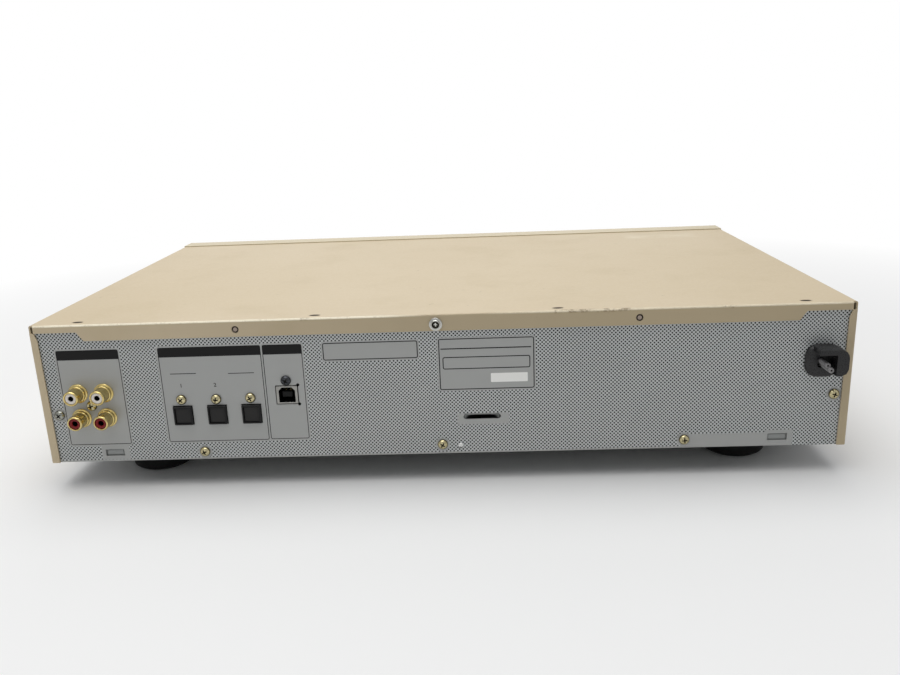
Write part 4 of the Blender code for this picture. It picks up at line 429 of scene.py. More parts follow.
# %% Places of the prints: right, top, left, bottom in millimetres, as the deck faces
ANALOGUE = (202.8, 63.7, 169.4, 10.1)
DIGITAL = (147.9, 63.8, 93.2, 10.6)
DATA = (92.0, 63.8, 71.3, 10.8)
NOTICE = (59.9, 63.8, 10.3, 54.7)
RATING = (-1.1, 64.2, -50.6, 36.5)
RATING_BOX = (-3.0, 54.2, -48.5, 47.9)
RATING_LINE = (-1.9, 59.2, -49.3, 58.6)
STICKER = (-27.9, 45.0, -47.3, 40.0)
INPUT_RULES = ((142.9, 49.5, 128.9, 49.1), (111.7, 49.0, 97.8, 48.6))
LOUVRE_PAD = (-9.3, 22.8, -37.1, 16.3)
BOTTOM_EDGE = (214.0, 0.9, -150.0, -1.0)
STRIP = (-132.0, 7.7, -187.0, 0.0)
WINDOW_PADS = ((186.4, 9.0, 171.0, 1.0), (-172.4, 9.0, -187.2, 1.0))
SCREWS_IN_DOTS = ((206.4, 27.5), (-206.9, 28.5), (129.2, 4.4), (-1.0, 5.3), (-130.2, 4.7))
SCREWS_IN_FRAMES = ((138.6, 34.7), (119.7, 34.5), (101.1, 34.8), (81.1, 44.0), (187.9, 32.6))
PIPS = ((104.9, 73.1), (-104.9, 73.1))
print("rear screws", len(SCREWS_IN_DOTS + SCREWS_IN_FRAMES), "pips", len(PIPS))

# %% Widths of the prints in millimetres
DOT_PITCH = 2.0
BAR = 5.2
RULE = 0.38
HEAVY_RULE = 0.52
CLEAR = 1.1
SCREW_CLEAR = 3.9
FRAME_CORNER, STICKER_CORNER, PAD_CORNER, BAR_CORNER = 0.9, 0.4, 0.3, 0.1
# Round each pip: a dark ring of painted shade and the pip's pale face, with their radii.
PIP_GAP_SHADE_AND_FACE = ((2.4, "#2E231E"), (1.1, "#A5968A"))
print("dots every", DOT_PITCH, "mm, rules", RULE, "and", HEAVY_RULE, "mm wide")


# %% Distance to a printed box
def past_box(tree, place, box, corner):
    """How far a point is outside a box in X and Z with rounded corners, in metres."""
    right, top, left, bottom = box
    low = ((left + corner) * MM, -1.0, BASE_Z + (bottom + corner) * MM)
    high = ((right - corner) * MM, 1.0, BASE_Z + (top - corner) * MM)
    past = {0: past_faces(tree, place, low, high), 1: (0.0, 0.0, 0.0)}
    past = add_node(tree, "VectorMath", past, operation="MAXIMUM")
    past = add_node(tree, "VectorMath", {0: past}, "Value", operation="LENGTH")
    return add_node(tree, "Math", {0: past, 1: corner * MM}, operation="SUBTRACT")


# %% Printed steel: the lattice of dots
printed_steel = finish(
    "printed_coated_steel", "#C1C4C3", "#CBCECD", 40, 0.9, 0.004, 0.44, 0.3, specular=0.25
)
tree = printed_steel.node_tree
place = add_node(tree, "TexCoord", output="Object")
axes = add_node(tree, "SeparateXYZ", {0: place}).node.outputs
turn = 2 * math.pi / (DOT_PITCH * MM)
dots = 1.0
for axis in (axes[0], axes[2]):
    wave = add_node(tree, "Math", {0: axis, 1: turn}, operation="MULTIPLY")
    wave = add_node(tree, "Math", {0: wave}, operation="COSINE")
    dots = add_node(tree, "Math", {0: dots, 1: wave}, operation="MULTIPLY")
dots = add_node(tree, "MapRange", {0: dots, 1: 0.04, 2: 0.30, 3: 0.0, 4: 1.0})
print("lattice", len(tree.nodes), "nodes so far")

# %% Printed steel: where it stays free of dots
boxes = (ANALOGUE, DIGITAL, DATA, NOTICE, RATING, RATING_BOX)
frames = [past_box(tree, place, box, FRAME_CORNER) for box in boxes]
pads = [(edge, CLEAR) for edge in frames[:-1]]
for box in (LOUVRE_PAD, BOTTOM_EDGE, STRIP, *WINDOW_PADS):
    pads.append((past_box(tree, place, box, PAD_CORNER), 0.0))
flat = add_node(tree, "VectorMath", {0: place, 1: (1.0, 0.0, 1.0)}, operation="MULTIPLY")
for x, z in SCREWS_IN_DOTS:
    ends = {0: flat, 1: (x * MM, 0.0, BASE_Z + z * MM)}
    pads.append((add_node(tree, "VectorMath", ends, "Value", operation="DISTANCE"), SCREW_CLEAR))
clear = 1.0
for far, margin in pads:
    free = add_node(tree, "Math", {0: far, 1: margin * MM}, operation="GREATER_THAN")
    clear = add_node(tree, "Math", {0: clear, 1: free}, operation="MULTIPLY")
lay_stain_or_painted_light(tree, "#ABACAA", add_node(tree, "Math", {0: 1.0, 1: clear}, operation="SUBTRACT"))
lay_stain_or_painted_light(tree, "#1A1C1C", dots, clear)
print("printed steel", len(tree.nodes), "nodes so far")

# %% Printed steel: rules, bars, painted shade round the pips, their faces, and the sticker
bars = [(right, top, left, top - BAR) for right, top, left, _ in (ANALOGUE, DIGITAL, DATA)]
solid = (*bars, RATING_LINE, *INPUT_RULES)
lines = [(past_box(tree, place, box, BAR_CORNER), 0.0) for box in solid]
for number, edge in enumerate(frames):
    width = RULE if number < len(bars) else HEAVY_RULE
    lines.append((add_node(tree, "Math", {0: edge}, operation="ABSOLUTE"), width / 2))
ink = 0.0
for far, margin in lines:
    line = add_node(tree, "Math", {0: far, 1: margin * MM}, operation="LESS_THAN")
    ink = add_node(tree, "Math", {0: ink, 1: line}, operation="MAXIMUM")
lay_stain_or_painted_light(tree, "#060606", ink)
spots = [(STICKER, STICKER_CORNER, "#F2F2EE")]
# Round each pip, a dark ring is painted shade of the gap in the cover's hole, and a pale disc is the pip's
# face.
for x, z in PIPS:
    for radius, shade in PIP_GAP_SHADE_AND_FACE:
        ring = (x + radius, z + radius, x - radius, z - radius)
        spots.append((ring, radius - 0.05, shade))
for box, corner, shade in spots:
    far = past_box(tree, place, box, corner)
    lay_stain_or_painted_light(tree, shade, add_node(tree, "Math", {0: far, 1: 0.0}, operation="LESS_THAN"))
metal = tree.nodes["Principled BSDF"].inputs["Metallic"]
tree.links.new(add_node(tree, "MapRange", {0: ink, 3: 0.3, 4: 0.0}), metal)
print("printed steel", len(tree.nodes), "nodes")

# %% [markdown]
# ## Plated shell of the square socket
#
# The square data socket is nickel outside, but its mouth is deep and takes no light. Inside
# the mouth the finish is painted dark and loses its metal, as painted shade.

# %% Socket shell
socket_shell = finish("nickel_socket_shell", "#8C8B87", "#A6A5A0", 6, 0.5, 0.004, 0.30, 1.0)
tree = socket_shell.node_tree
place = add_node(tree, "TexCoord", output="Object")
mouth = middle("usb_insulator")
low = (mouth.x - 4.5 * MM, PANEL_Y - 30 * MM, mouth.z - 4.3 * MM)
high = (mouth.x + 4.5 * MM, PANEL_Y - 0.2 * MM, mouth.z + 4.3 * MM)
# Painted shade inside the mouth: dark and not metallic.
mouth_painted_shade = inside(tree, place, low, high, 0.1 * MM)
lay_stain_or_painted_light(tree, "#0E0E0F", mouth_painted_shade)
metal = tree.nodes["Principled BSDF"].inputs["Metallic"]
tree.links.new(add_node(tree, "MapRange", {0: mouth_painted_shade, 3: 1.0, 4: 0.0}), metal)
print("socket shell", len(tree.nodes), "nodes")

# %% [markdown]
# ## Finishes on the CAD nodes
#
# Each node's material slot in the record names its finish, so one table dresses them all.
# A few nodes of the same slot are of another plastic or have a mouth of their own.

# %% Dress the CAD nodes
BY_SLOT = {
    "champagne_paint": champagne,
    "champagne_plastic": champagne_abs,
    "zinc_plated_steel": zinc_sheet,
    "printed_steel": printed_steel,
    "gold_plating": plated_gold,
    "nickel_plating": nickel,
    "black_moulded_plastic": black_abs,
    "grey_moulded_plastic": grey_abs,
    "smoked_acrylic": smoked_acrylic,
    "display_glass": display_glass,
    "circuit_board": board_green,
    "foot_rubber": rubber,
    "cord_grey": sheath,
    "bright_steel": bright_steel,
    "transformer_iron": iron_core,
    "aluminium": turned_aluminium,
    "white_acetal": acetal,
}
BY_NODE = {"cord_bush": black_nylon, "usb_socket": socket_shell, "usb_insulator": deep_black}
slot_of = {row["node"]: row["material_slot"] for row in frame["record"]["subparts"]}
finish_of = {name: BY_NODE.get(name, BY_SLOT[slot]) for name, slot in slot_of.items()}
for name, material in finish_of.items():
    nodes[name].data.materials.clear()
    nodes[name].data.materials.append(material)
body_of = {}
for body, members in frame["record"]["behaviour"]["bodies"].items():
    body_of.update({name: body for name in members})
print("dressed", len(finish_of), "CAD nodes")

# %% [markdown]
# ## Modelling helpers
#
# New pieces are made with Blender's own operators. Everything is deselected first, because
# operators act on all that is selected. A finished piece has its place in its mesh, so its
# object sits at the origin, and it rides on a body of the model.


# %% Start, select and finish a piece
def added(operator, name, **settings):
    """A new object at the origin from one of Blender's add operators, selected alone."""
    bpy.ops.object.select_all(action="DESELECT")
    operator(location=(0, 0, 0), **settings)
    piece = bpy.context.object
    piece.name = name
    return piece


def alone(piece):
    """Only this piece is selected and active."""
    bpy.ops.object.select_all(action="DESELECT")
    piece.select_set(True)
    bpy.context.view_layer.objects.active = piece


def done(piece, material, body="cabinet", smooth=32):
    """A finished piece: its place in its mesh, shaded, painted, and carried by a body."""
    if bpy.context.mode != "OBJECT":
        bpy.ops.object.mode_set(mode="OBJECT")
    alone(piece)
    bpy.ops.object.transform_apply(location=True, rotation=True, scale=True)
    bpy.ops.object.shade_smooth_by_angle(angle=math.radians(smooth))
    piece.data.materials.clear()
    piece.data.materials.append(material)
    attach(piece, body)
    return piece


def second_finish(piece, material, test):
    """Gives the faces that pass the test a second material."""
    piece.data.materials.append(material)
    for face in piece.data.polygons:
        if test(face):
            face.material_index = len(piece.data.materials) - 1


print("finishing helpers ready")


# %% Into edit mode and out of it
def edit_all():
    """Edit mode, with everything selected."""
    bpy.ops.object.mode_set(mode="EDIT")
    bpy.ops.mesh.select_all(action="SELECT")


def edit_faces(piece, test):
    """Edit mode, with only those faces selected that pass the test."""
    alone(piece)
    bpy.ops.object.mode_set(mode="EDIT")
    bpy.ops.mesh.select_mode(type="FACE")
    bpy.ops.mesh.select_all(action="DESELECT")
    bpy.ops.object.mode_set(mode="OBJECT")
    for face in piece.data.polygons:
        face.select = test(face)
    bpy.ops.object.mode_set(mode="EDIT")


def closed(weld_mm):
    """Back to object mode, with near points merged and every face turned outwards."""
    bpy.ops.mesh.select_all(action="SELECT")
    bpy.ops.mesh.remove_doubles(threshold=weld_mm * MM)
    bpy.ops.mesh.normals_make_consistent(inside=False)
    bpy.ops.object.mode_set(mode="OBJECT")


print("editing helpers ready")


# %% Slabs and turned shapes
def slab(name, low, high, bevel=0.0):
    """A cube between two corners with its edges bevelled."""
    piece = added(bpy.ops.mesh.primitive_cube_add, name, size=1.0)
    piece.location = [(a + b) / 2 for a, b in zip(low, high)]
    piece.scale = [b - a for a, b in zip(low, high)]
    bpy.ops.object.transform_apply(location=True, rotation=True, scale=True)
    if bevel:
        edit_all()
        bpy.ops.mesh.bevel(offset=bevel, segments=2, affect="EDGES")
        bpy.ops.object.mode_set(mode="OBJECT")
    return piece


def turned(name, profile, centre, axis, steps=32):
    """A profile in millimetres, drawn by extruding one point, then spun about the axis."""
    piece = added(bpy.ops.mesh.primitive_plane_add, name, size=0.01)
    along = Vector(axis)
    out = Vector((0, 0, 1)) if abs(along.z) < 0.5 else Vector((1, 0, 0))
    out = (out - along * out.dot(along)).normalized()
    points = [Vector(centre) + along * a * MM + out * r * MM for a, r in profile]
    edit_all()
    bpy.ops.mesh.select_mode(type="VERT")
    bpy.ops.mesh.merge(type="CENTER")
    bpy.ops.transform.translate(value=points[0])
    for before, after in zip(points, points[1:]):
        bpy.ops.mesh.extrude_region_move(TRANSFORM_OT_translate={"value": after - before})
    bpy.ops.mesh.select_all(action="SELECT")
    bpy.ops.mesh.spin(steps=steps, angle=2 * math.pi, center=centre, axis=along)
    closed(0.002)
    return piece


print("shape helpers ready")


# %% Modifiers, carving, copies and softened CAD shapes
def modified(piece, kind, **settings):
    """A modifier with its settings, applied at once."""
    alone(piece)
    change = piece.modifiers.new(kind.title(), kind)
    for name, value in settings.items():
        setattr(change, name, value)
    bpy.ops.object.modifier_apply(modifier=change.name)
    return piece


def carve(piece, cutter, operation="DIFFERENCE"):
    """Cut one piece with another, and throw the cutter away."""
    modified(piece, "BOOLEAN", operation=operation, object=cutter)
    bpy.data.objects.remove(cutter, do_unlink=True)
    return piece


def copied(piece, name, move):
    """A copy with its own mesh, moved by a matrix."""
    copy = piece.copy()
    copy.data = piece.data.copy()
    copy.name = name
    copy.data.transform(move)
    bpy.context.collection.objects.link(copy)
    return copy


def refined(node, width_mm, segments=2, smooth=32):
    """A copy of a CAD node, merged and with rounded edges, that stands for the node."""
    piece = bpy.data.objects.new(node + "_softened", nodes[node].data.copy())
    bpy.context.collection.objects.link(piece)
    alone(piece)
    edit_all()
    bpy.ops.mesh.remove_doubles(threshold=0.001 * MM)
    bpy.ops.mesh.dissolve_limited(angle_limit=math.radians(1))
    bpy.ops.object.mode_set(mode="OBJECT")
    if width_mm:
        edges = {"limit_method": "ANGLE", "angle_limit": math.radians(30)}
        modified(piece, "BEVEL", width=width_mm * MM, segments=segments, **edges)
    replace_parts(piece, node)
    done(piece, finish_of[node], body_of[node], smooth)
    return modified(piece, "WEIGHTED_NORMAL", keep_sharp=True, weight=100)


print("carving helpers ready")

# %% [markdown]
# ## The cover's fold
#
# The cover's edges are bends of about 1 mm radius, and a bend that wide catches the lamp as
# one bright line. The CAD node has the bend in three flat steps, so a merged copy with smooth
# shading across the bend stands in for it.

# %% Smooth folds
cover = refined("top_cover", 0.0, smooth=40)
refined("chassis_pan", 0.0, smooth=40)
print("cover faces", len(cover.data.polygons))

# %% [markdown]
# ## Cross-recess screws
#
# The rear screws are 3 mm pan heads, about 5.6 mm across, in yellow passivated zinc, and the
# one above the square socket is darker chrome. The head is a spun profile with a rounded
# crown, and the recess is two tapered blades cut out of it. The recess is painted dark as
# shade, and the rim of each yellow head carries a painted dark reflection. One screw is
# modelled and then copied, each copy turned by its own angle because no fitter stops the
# driver at the same one.


# %% One screw facing the rear
def cut_cross(head, wide_mm, seat):
    """Two driver blades at right angles, narrower inwards, cut out of a head on its seat."""
    for turn in (0, math.pi / 2):
        wide = wide_mm / 2 * MM
        blade = slab("blade", (-wide, 0.6 * MM, -0.42 * MM), (wide, 3.0 * MM, 0.42 * MM))
        edit_faces(blade, lambda face: face.normal.y < -0.5)
        bpy.ops.transform.resize(value=(0.55, 1.0, 0.7), center_override=(0, 0.6 * MM, 0))
        bpy.ops.object.mode_set(mode="OBJECT")
        blade.data.transform(Matrix.Translation(seat) @ Matrix.Rotation(turn, 4, "Y"))
        carve(head, blade)


crown = [
    (0, 0), (0, 2.6), (0.3, 2.8), (0.6, 2.76), (1.0, 2.52), (1.45, 2.05), (1.8, 1.45),
    (2.0, 0.8), (2.05, 0),
]
master = turned("screw_master", crown, (0, 0, 0), (0, 1, 0), 28)
cut_cross(master, 3.6, (0, 0, 0))
print("screw master", len(master.data.polygons), "faces")


# %% Copies of the screw
DRIVER_STEP = 37


def from_seat(face, seat):
    """How far a face is from a screw's axis and how high over its seat, in millimetres."""
    gap = face.center - seat
    return gap.xz.length / MM, gap.y / MM


def recess(face, seat):
    """Whether a face is a wall or the floor of the cross of a screw on this seat."""
    from_axis, height = from_seat(face, seat)
    wall = from_axis < 1.75 and height < 1.9 and abs(face.normal.y) < 0.35
    return wall or (from_axis < 1.7 and height < 0.75 and face.normal.y > 0.5)


def rim_gets_dark_reflection(face, seat):
    """Whether a face is on the outer edge of the head, which gets a painted dark reflection."""
    return from_seat(face, seat)[0] > 2.3 and face.normal.y < 0.6


for number, (x, z) in enumerate(SCREWS_IN_DOTS + SCREWS_IN_FRAMES, 1):
    seat = Vector((x * MM, PANEL_Y, BASE_Z + z * MM))
    turned_by = Matrix.Rotation(math.radians(number * DRIVER_STEP), 4, "Y")
    screw = copied(master, f"rear_screw_{number}", Matrix.Translation(seat) @ turned_by)
    coat = {1: dull_zinc, 9: dark_chrome}.get(number, yellow_zinc)
    done(screw, coat)
    # The cross recess gets painted shade, and the rims of the yellow heads a painted dark reflection.
    second_finish(screw, recess_shade, lambda face: recess(face, seat))
    if coat == yellow_zinc:
        second_finish(screw, reflection_rim_zinc, lambda face: rim_gets_dark_reflection(face, seat))
print("rear screws", number)

# %% [markdown]
# ## Gold-plated sockets
#
# A phono socket is a turned brass barrel with gold plating. Its mouth is rolled to a round
# rim, it has a collar at the foot that a fibre washer sits against, and a plastic sleeve fills
# it around the hole for the pin. The barrel is one spun profile, so the light runs round it in
# clean bands. The sleeve is white for the left channel and red for the right one.

# %% One barrel and its sleeve
barrel_profile = [
    (-0.8, 3.6), (-0.8, 5.1), (0.25, 5.3), (0.6, 5.3), (0.85, 5.05), (1.0, 4.5), (1.3, 4.45),
    (1.5, 4.7), (2.6, 4.7), (2.85, 4.55), (3.0, 4.2), (3.6, 4.1), (8.4, 4.1), (8.9, 4.05),
    (9.3, 3.85), (9.48, 3.5), (9.4, 3.2), (9.1, 3.02), (8.8, 3.0), (8.65, 3.2), (8.6, 3.45),
    (-0.8, 3.45), (-0.8, 3.6),
]
sleeve_profile = [
    (8.5, 1.45), (8.5, 3.3), (8.62, 3.3), (8.7, 2.95), (8.95, 2.85), (9.05, 2.55), (9.05, 2.0),
    (8.95, 1.7), (8.7, 1.5), (8.5, 1.45),
]
print("profiles", len(barrel_profile), len(sleeve_profile))

# %% Four phono sockets
barrel = turned("barrel_master", barrel_profile, (0, 0, 0), (0, 1, 0), 48)
sleeve = turned("sleeve_master", sleeve_profile, (0, 0, 0), (0, 1, 0), 36)
for number in (1, 2, 3, 4):
    shell = middle(f"rca_shell_{number}")
    move = Matrix.Translation((shell.x, PANEL_Y, shell.z))
    body = copied(barrel, f"phono_barrel_{number}", move)
    done(body, plated_gold, smooth=40)
    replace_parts(body, f"rca_shell_{number}")
    colour = white_sleeve if number < 3 else red_sleeve
    done(copied(sleeve, f"phono_sleeve_{number}", move), colour, smooth=40)
print("phono sockets", number)

# %% [markdown]
# ## Optical sockets
#
# An optical socket is a black ABS block with a square mouth that a hinged shutter closes
# against dust. The mouth's corners are sharp, but its outer edges are moulded with a small
# radius that shows as a thin grey line under the lamp.

# %% Optical sockets and shutters
for number in (1, 2, 3):
    refined(f"optical_socket_{number}", 0.22)
    refined(f"optical_shutter_{number}", 0.15)
print("optical sockets", number)

# %% [markdown]
# ## Square data socket
#
# A drawn steel shell with nickel plating holds a black insulator with four contacts on its
# tongue. The shell's edge is rolled in a little, and the contacts are flat springs that show
# as short bright lines inside the mouth.

# %% Socket shell and contacts
refined("usb_socket", 0.25)
tongue = middle("usb_insulator")
for number, (column, row) in enumerate(((-1, -1), (1, -1), (-1, 1), (1, 1)), 1):
    x, z = tongue.x + column * 1.25 * MM, tongue.z + row * 1.75 * MM
    low = (x - 0.5 * MM, PANEL_Y - 9.0 * MM, z - 0.12 * MM)
    high = (x + 0.5 * MM, PANEL_Y - 4.0 * MM, z + 0.12 * MM)
    spring = slab(f"data_contact_{number}", low, high, 0.08 * MM)
    edit_faces(spring, lambda face: face.normal.y > 0.9)
    bpy.ops.mesh.inset(thickness=0.04 * MM)
    bpy.ops.transform.translate(value=(0, 0.15 * MM, 0))
    done(spring, plated_gold)
print("contacts", number)

# %% [markdown]
# ## Cord bush
#
# The mains cord leaves through a nylon bush: a rounded flange against the panel and a hood
# that shields the cord from above and from the side. The real cord was cut off inside the
# hood, so its end shows two round cores with a groove between them. The hood's edges have a
# radius of about 0.4 mm that draws one bright line along its top.

# %% Bush, and the line that the cord follows
refined("cord_bush", 0.35, 3, smooth=40)
ends = [vertex.co.copy() for vertex in nodes["cord_stub"].data.vertices]
half_way = sum(point.y for point in ends) / len(ends)
outer = [point for point in ends if point.y > half_way]
inner = [point for point in ends if point.y <= half_way]
root = sum(inner, Vector()) / len(inner)
along = (sum(outer, Vector()) / len(outer) - root).normalized()
longest = max(point.y for point in ends) - 0.4 * MM
tip = root + along * ((longest - root.y) / along.y)
print("cord end", [round(value, 4) for value in tip])

# %% The cord's two round cores, one cut shorter, and their conductors
CORE_STEP = Vector((1.25, 0, 2.15)) * MM
reach = (tip - root).length / MM
cores = []
for number, (side, shorter) in enumerate(((-1, 0.0), (1, 1.3)), 1):
    centre = tip + CORE_STEP * side / 2 - along * shorter * MM
    sheath_line = [
        (shorter - reach, 0), (shorter - reach, 1.42), (-0.3, 1.42), (-0.08, 1.3),
        (0, 1.1), (0, 0.62), (-0.25, 0.5), (-0.9, 0.46), (-0.9, 0),
    ]
    cores.append(turned(f"cord_core_{number}", sheath_line, centre, along, 28))
    strands = [(-1.2, 0), (-1.2, 0.44), (-0.35, 0.44), (-0.25, 0.3), (-0.25, 0)]
    done(turned(f"conductor_{number}", strands, centre, along, 20), copper, smooth=40)
cord = carve(cores[0], cores[1], "UNION")
cord.name = "cord_end"
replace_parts(cord, "cord_stub")
done(cord, finish_of["cord_stub"], smooth=35)
print("cord end", len(cord.data.polygons), "faces")

# %% [markdown]
# ## Cover screw
#
# One flanged screw holds the cover's rear flange. Its rim is bright, and its dished middle
# with the cross recess is painted dark as shade. It is the CAD screw's shape as one finer spun
# profile, with the cross cut by the same driver blades.

# %% Cover screw
cap_seat = Vector((0, REAR_Y, middle("cover_screw").z))
rim = [
    (-1.6, 0.0), (-1.6, 1.4), (0.3, 1.4), (0.3, 3.4), (0.45, 3.5), (0.65, 3.4), (0.8, 2.5),
    (1.55, 2.4), (1.7, 2.25), (1.72, 2.0), (1.55, 1.8), (1.2, 1.55), (1.1, 1.1), (1.1, 0.0),
]
cap = turned("cover_screw_head", rim, cap_seat, (0, 1, 0), 40)
cut_cross(cap, 3.0, cap_seat)
done(cap, nickel, smooth=40)


def dish(face):
    """Whether a face looks out of the dished middle."""
    from_axis, height = from_seat(face, cap_seat)
    return from_axis < 2.1 and 1.02 < height < 1.69 and face.normal.y > 0.2


# The dished middle gets painted shade.
second_finish(cap, recess_shade, dish)
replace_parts(cap, "cover_screw")
print("cover screw", len(cap.data.polygons), "faces")

# %% [markdown]
# ## The lanced louvre
#
# A slot under the rating frame lets air in. The press pushed the sheet above it inwards, so
# the opening is a dark crescent with a straight bright lower edge. A grid is bent into that
# scoop by moving its vertices along a sine, and a Solidify modifier gives it the sheet's
# thickness. The scoop's steel is painted darker than the panel, and near black the deeper it
# goes, as painted shade.

# %% Steel of the scoop with painted shade: darker than the panel, and darker the deeper it goes
scoop_shade_steel = finish(
    "scoop_steel_painted_shade", "#6F7170", "#7E807E", 3, 0.6, 0.010, 0.60, 0.2, specular=0.2
)
tree = scoop_shade_steel.node_tree
place = add_node(tree, "TexCoord", output="Object")
depth = add_node(tree, "SeparateXYZ", {0: place}).node.outputs[1]
depth = {0: depth, 1: PANEL_Y - 0.3 * MM, 2: PANEL_Y - 1.3 * MM, 3: 0.0, 4: 1.0}
# Painted shade: near black past 1.3 mm deep.
lay_stain_or_painted_light(tree, "#060707", add_node(tree, "MapRange", depth))
print("lanced steel", len(tree.nodes), "nodes")

# %% Louvre scoop
SLIT = (-13.2, 22.6, -31.9, 19.6)
right, top, left, bottom = SLIT
scoop = added(
    bpy.ops.mesh.primitive_grid_add, "louvre_scoop", x_subdivisions=24, y_subdivisions=6, size=1.0
)
for vertex in scoop.data.vertices:
    u, v = vertex.co.x + 0.5, vertex.co.y + 0.5
    depth = 3.4 * math.sin(math.pi * u) ** 0.6 * math.sin(math.pi / 2 * (1 - v))
    x = left + (right - left) * u
    z = bottom + 0.3 + (top - bottom - 0.2) * v
    vertex.co = (x * MM, PANEL_Y - (0.1 + depth) * MM, BASE_Z + z * MM)
modified(scoop, "SOLIDIFY", thickness=0.5 * MM)
done(scoop, scoop_shade_steel)
print("louvre scoop", len(scoop.data.polygons), "faces")

# %% [markdown]
# ## Numbers at the inputs
#
# The two optical inputs are numbered. The digits are Blender text, made a mesh, turned to face
# the rear and laid just above the paint, as ink is.


# %% Plain figures as ink
DIGIT_SHARE = 0.7


def figures(name, characters, height_mm, place, turn):
    """Characters as a thin mesh, their height a known share of Blender's text size."""
    words = added(bpy.ops.object.text_add, name)
    words.data.body = characters
    words.data.align_x = "CENTER"
    words.data.align_y = "CENTER"
    words.data.size = height_mm * MM / DIGIT_SHARE
    words.data.extrude = 0.02 * MM
    words.data.offset = 0.05 * MM
    words.data.resolution_u = 3
    bpy.ops.object.convert(target="MESH")
    words = bpy.context.object
    edit_all()
    closed(0.001)
    words.data.transform(Matrix.Translation(place) @ turn.to_4x4())
    return done(words, dark_print)


TO_REAR = Matrix(((-1, 0, 0), (0, 0, 1), (0, 1, 0)))
DIGITS = {"1": (137.8, 42.5), "2": (119.4, 42.5)}
for digit, (x, z) in DIGITS.items():
    place = Vector((x * MM, PANEL_Y + INK, BASE_Z + z * MM))
    figures(f"input_{digit}", digit, 2.1, place, TO_REAR)
print("input numbers", len(DIGITS))

# %% [markdown]
# ## Locating dimple
#
# Beside the middle lower screw the press left a small locating pip. It is painted pale as a
# highlight, and its lower side is painted dark as shade.

# %% Dimple
pip = [(-0.3, 0.0), (-0.3, 1.5), (0.05, 1.5), (0.45, 1.3), (0.75, 0.9), (0.88, 0.4), (0.9, 0.0)]
dimple_at = (-10.7 * MM, PANEL_Y, BASE_Z + 4.4 * MM)
dimple = turned("panel_dimple", pip, dimple_at, (0, 1, 0), 24)
# The dimple's pale steel is a painted highlight.
done(dimple, dimple_highlight_steel, smooth=50)
# Painted shade on the faces of the dimple that look down.
second_finish(dimple, recess_shade, lambda face: face.normal.z < -0.25)
print("dimple", len(dimple.data.polygons), "faces")

# %% [markdown]
# ## Front panel
#
# The front is one moulding with a champagne paint over ABS. The photograph doesn't show it,
# so it follows what such decks have. The mould gives every edge a small radius, and so do the
# buttons, which stand in windows of the panel.

# %% Panel and buttons
KEYS = ("play", "pause", "stop", "rewind", "forward", "record", "power", "eject")
TRIM = {"slot_bezel": 0.25, "slot_flap": 0.2, "phones_jack": 0.3, "display_window": 0.2}
refined("front_panel", 0.30)
for key in KEYS:
    refined(f"{key}_button", 0.35, 3)
for node, width in TRIM.items():
    refined(node, width)
print("front pieces", 1 + len(KEYS) + len(TRIM))

# %% [markdown]
# ## Knobs
#
# The jog knob is turned aluminium with a knurled edge, so that a finger can turn it, and a
# dished face. The level knob is smaller, with a line for its pointer. Both are spun profiles.
# The knurl is every second face of the edge, inset and pushed in.


# %% A knurl
def knurled(piece, centre, radius_mm, low_y, high_y, width_mm, depth_mm):
    """Every second face beyond a radius, taken round the centre, is inset and pushed in."""
    angles = {}
    for face in piece.data.polygons:
        from_axis = (face.center - centre).xz
        if from_axis.length > radius_mm * MM and low_y < face.center.y < high_y:
            angles[face.index] = math.atan2(*from_axis)
    chosen = set(sorted(angles, key=angles.get)[::2])
    edit_faces(piece, lambda face: face.index in chosen)
    bpy.ops.mesh.inset(thickness=width_mm * MM, depth=-depth_mm * MM, use_individual=True)
    bpy.ops.object.mode_set(mode="OBJECT")
    return len(chosen)


# %% Jog knob
jog_low, jog_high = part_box("jog_knob")
jog_centre = middle("jog_knob")
reach = (jog_high.y - jog_low.y) / MM
jog_profile = [
    (reach - 2.0, 0.0), (reach - 2.0, 3.3), (2.0, 3.3), (2.0, 5.6), (reach - 2.0, 5.6),
    (reach - 2.0, 16.2), (0.0, 16.2), (0.0, 17.5), (0.3, 17.8), (0.7, 17.9), (reach - 2.4, 17.9),
    (reach - 2.1, 17.5), (reach - 1.8, 17.5), (reach - 1.5, 17.8), (reach - 1.0, 17.7),
    (reach - 0.3, 17.1), (reach, 16.4), (reach, 15.7), (reach - 0.2, 15.3), (reach - 0.6, 14.9),
    (reach - 0.6, 0.0),
]
jog_root = (jog_centre.x, jog_high.y, jog_centre.z)
jog = turned("jog_knob_turned", jog_profile, jog_root, (0, -1, 0), 144)
ribs = knurled(jog, jog_centre, 17.7, jog_low.y + 3 * MM, jog_high.y - 1 * MM, 0.06, 0.25)
done(jog, turned_aluminium, "jog_knob", 28)
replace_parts(jog, "jog_knob")
print("jog ribs", ribs)

# %% A finger dimple in the jog knob
ball = added(
    bpy.ops.mesh.primitive_uv_sphere_add, "ball", segments=32, ring_count=16, radius=6.0 * MM
)
ball_at = (jog_centre.x, jog_low.y + 0.6 * MM - 5.2 * MM, jog_centre.z + 10.2 * MM)
ball.data.transform(Matrix.Translation(ball_at))
carve(jog, ball)
done(jog, turned_aluminium, "jog_knob", 28)
print("jog faces", len(jog.data.polygons))

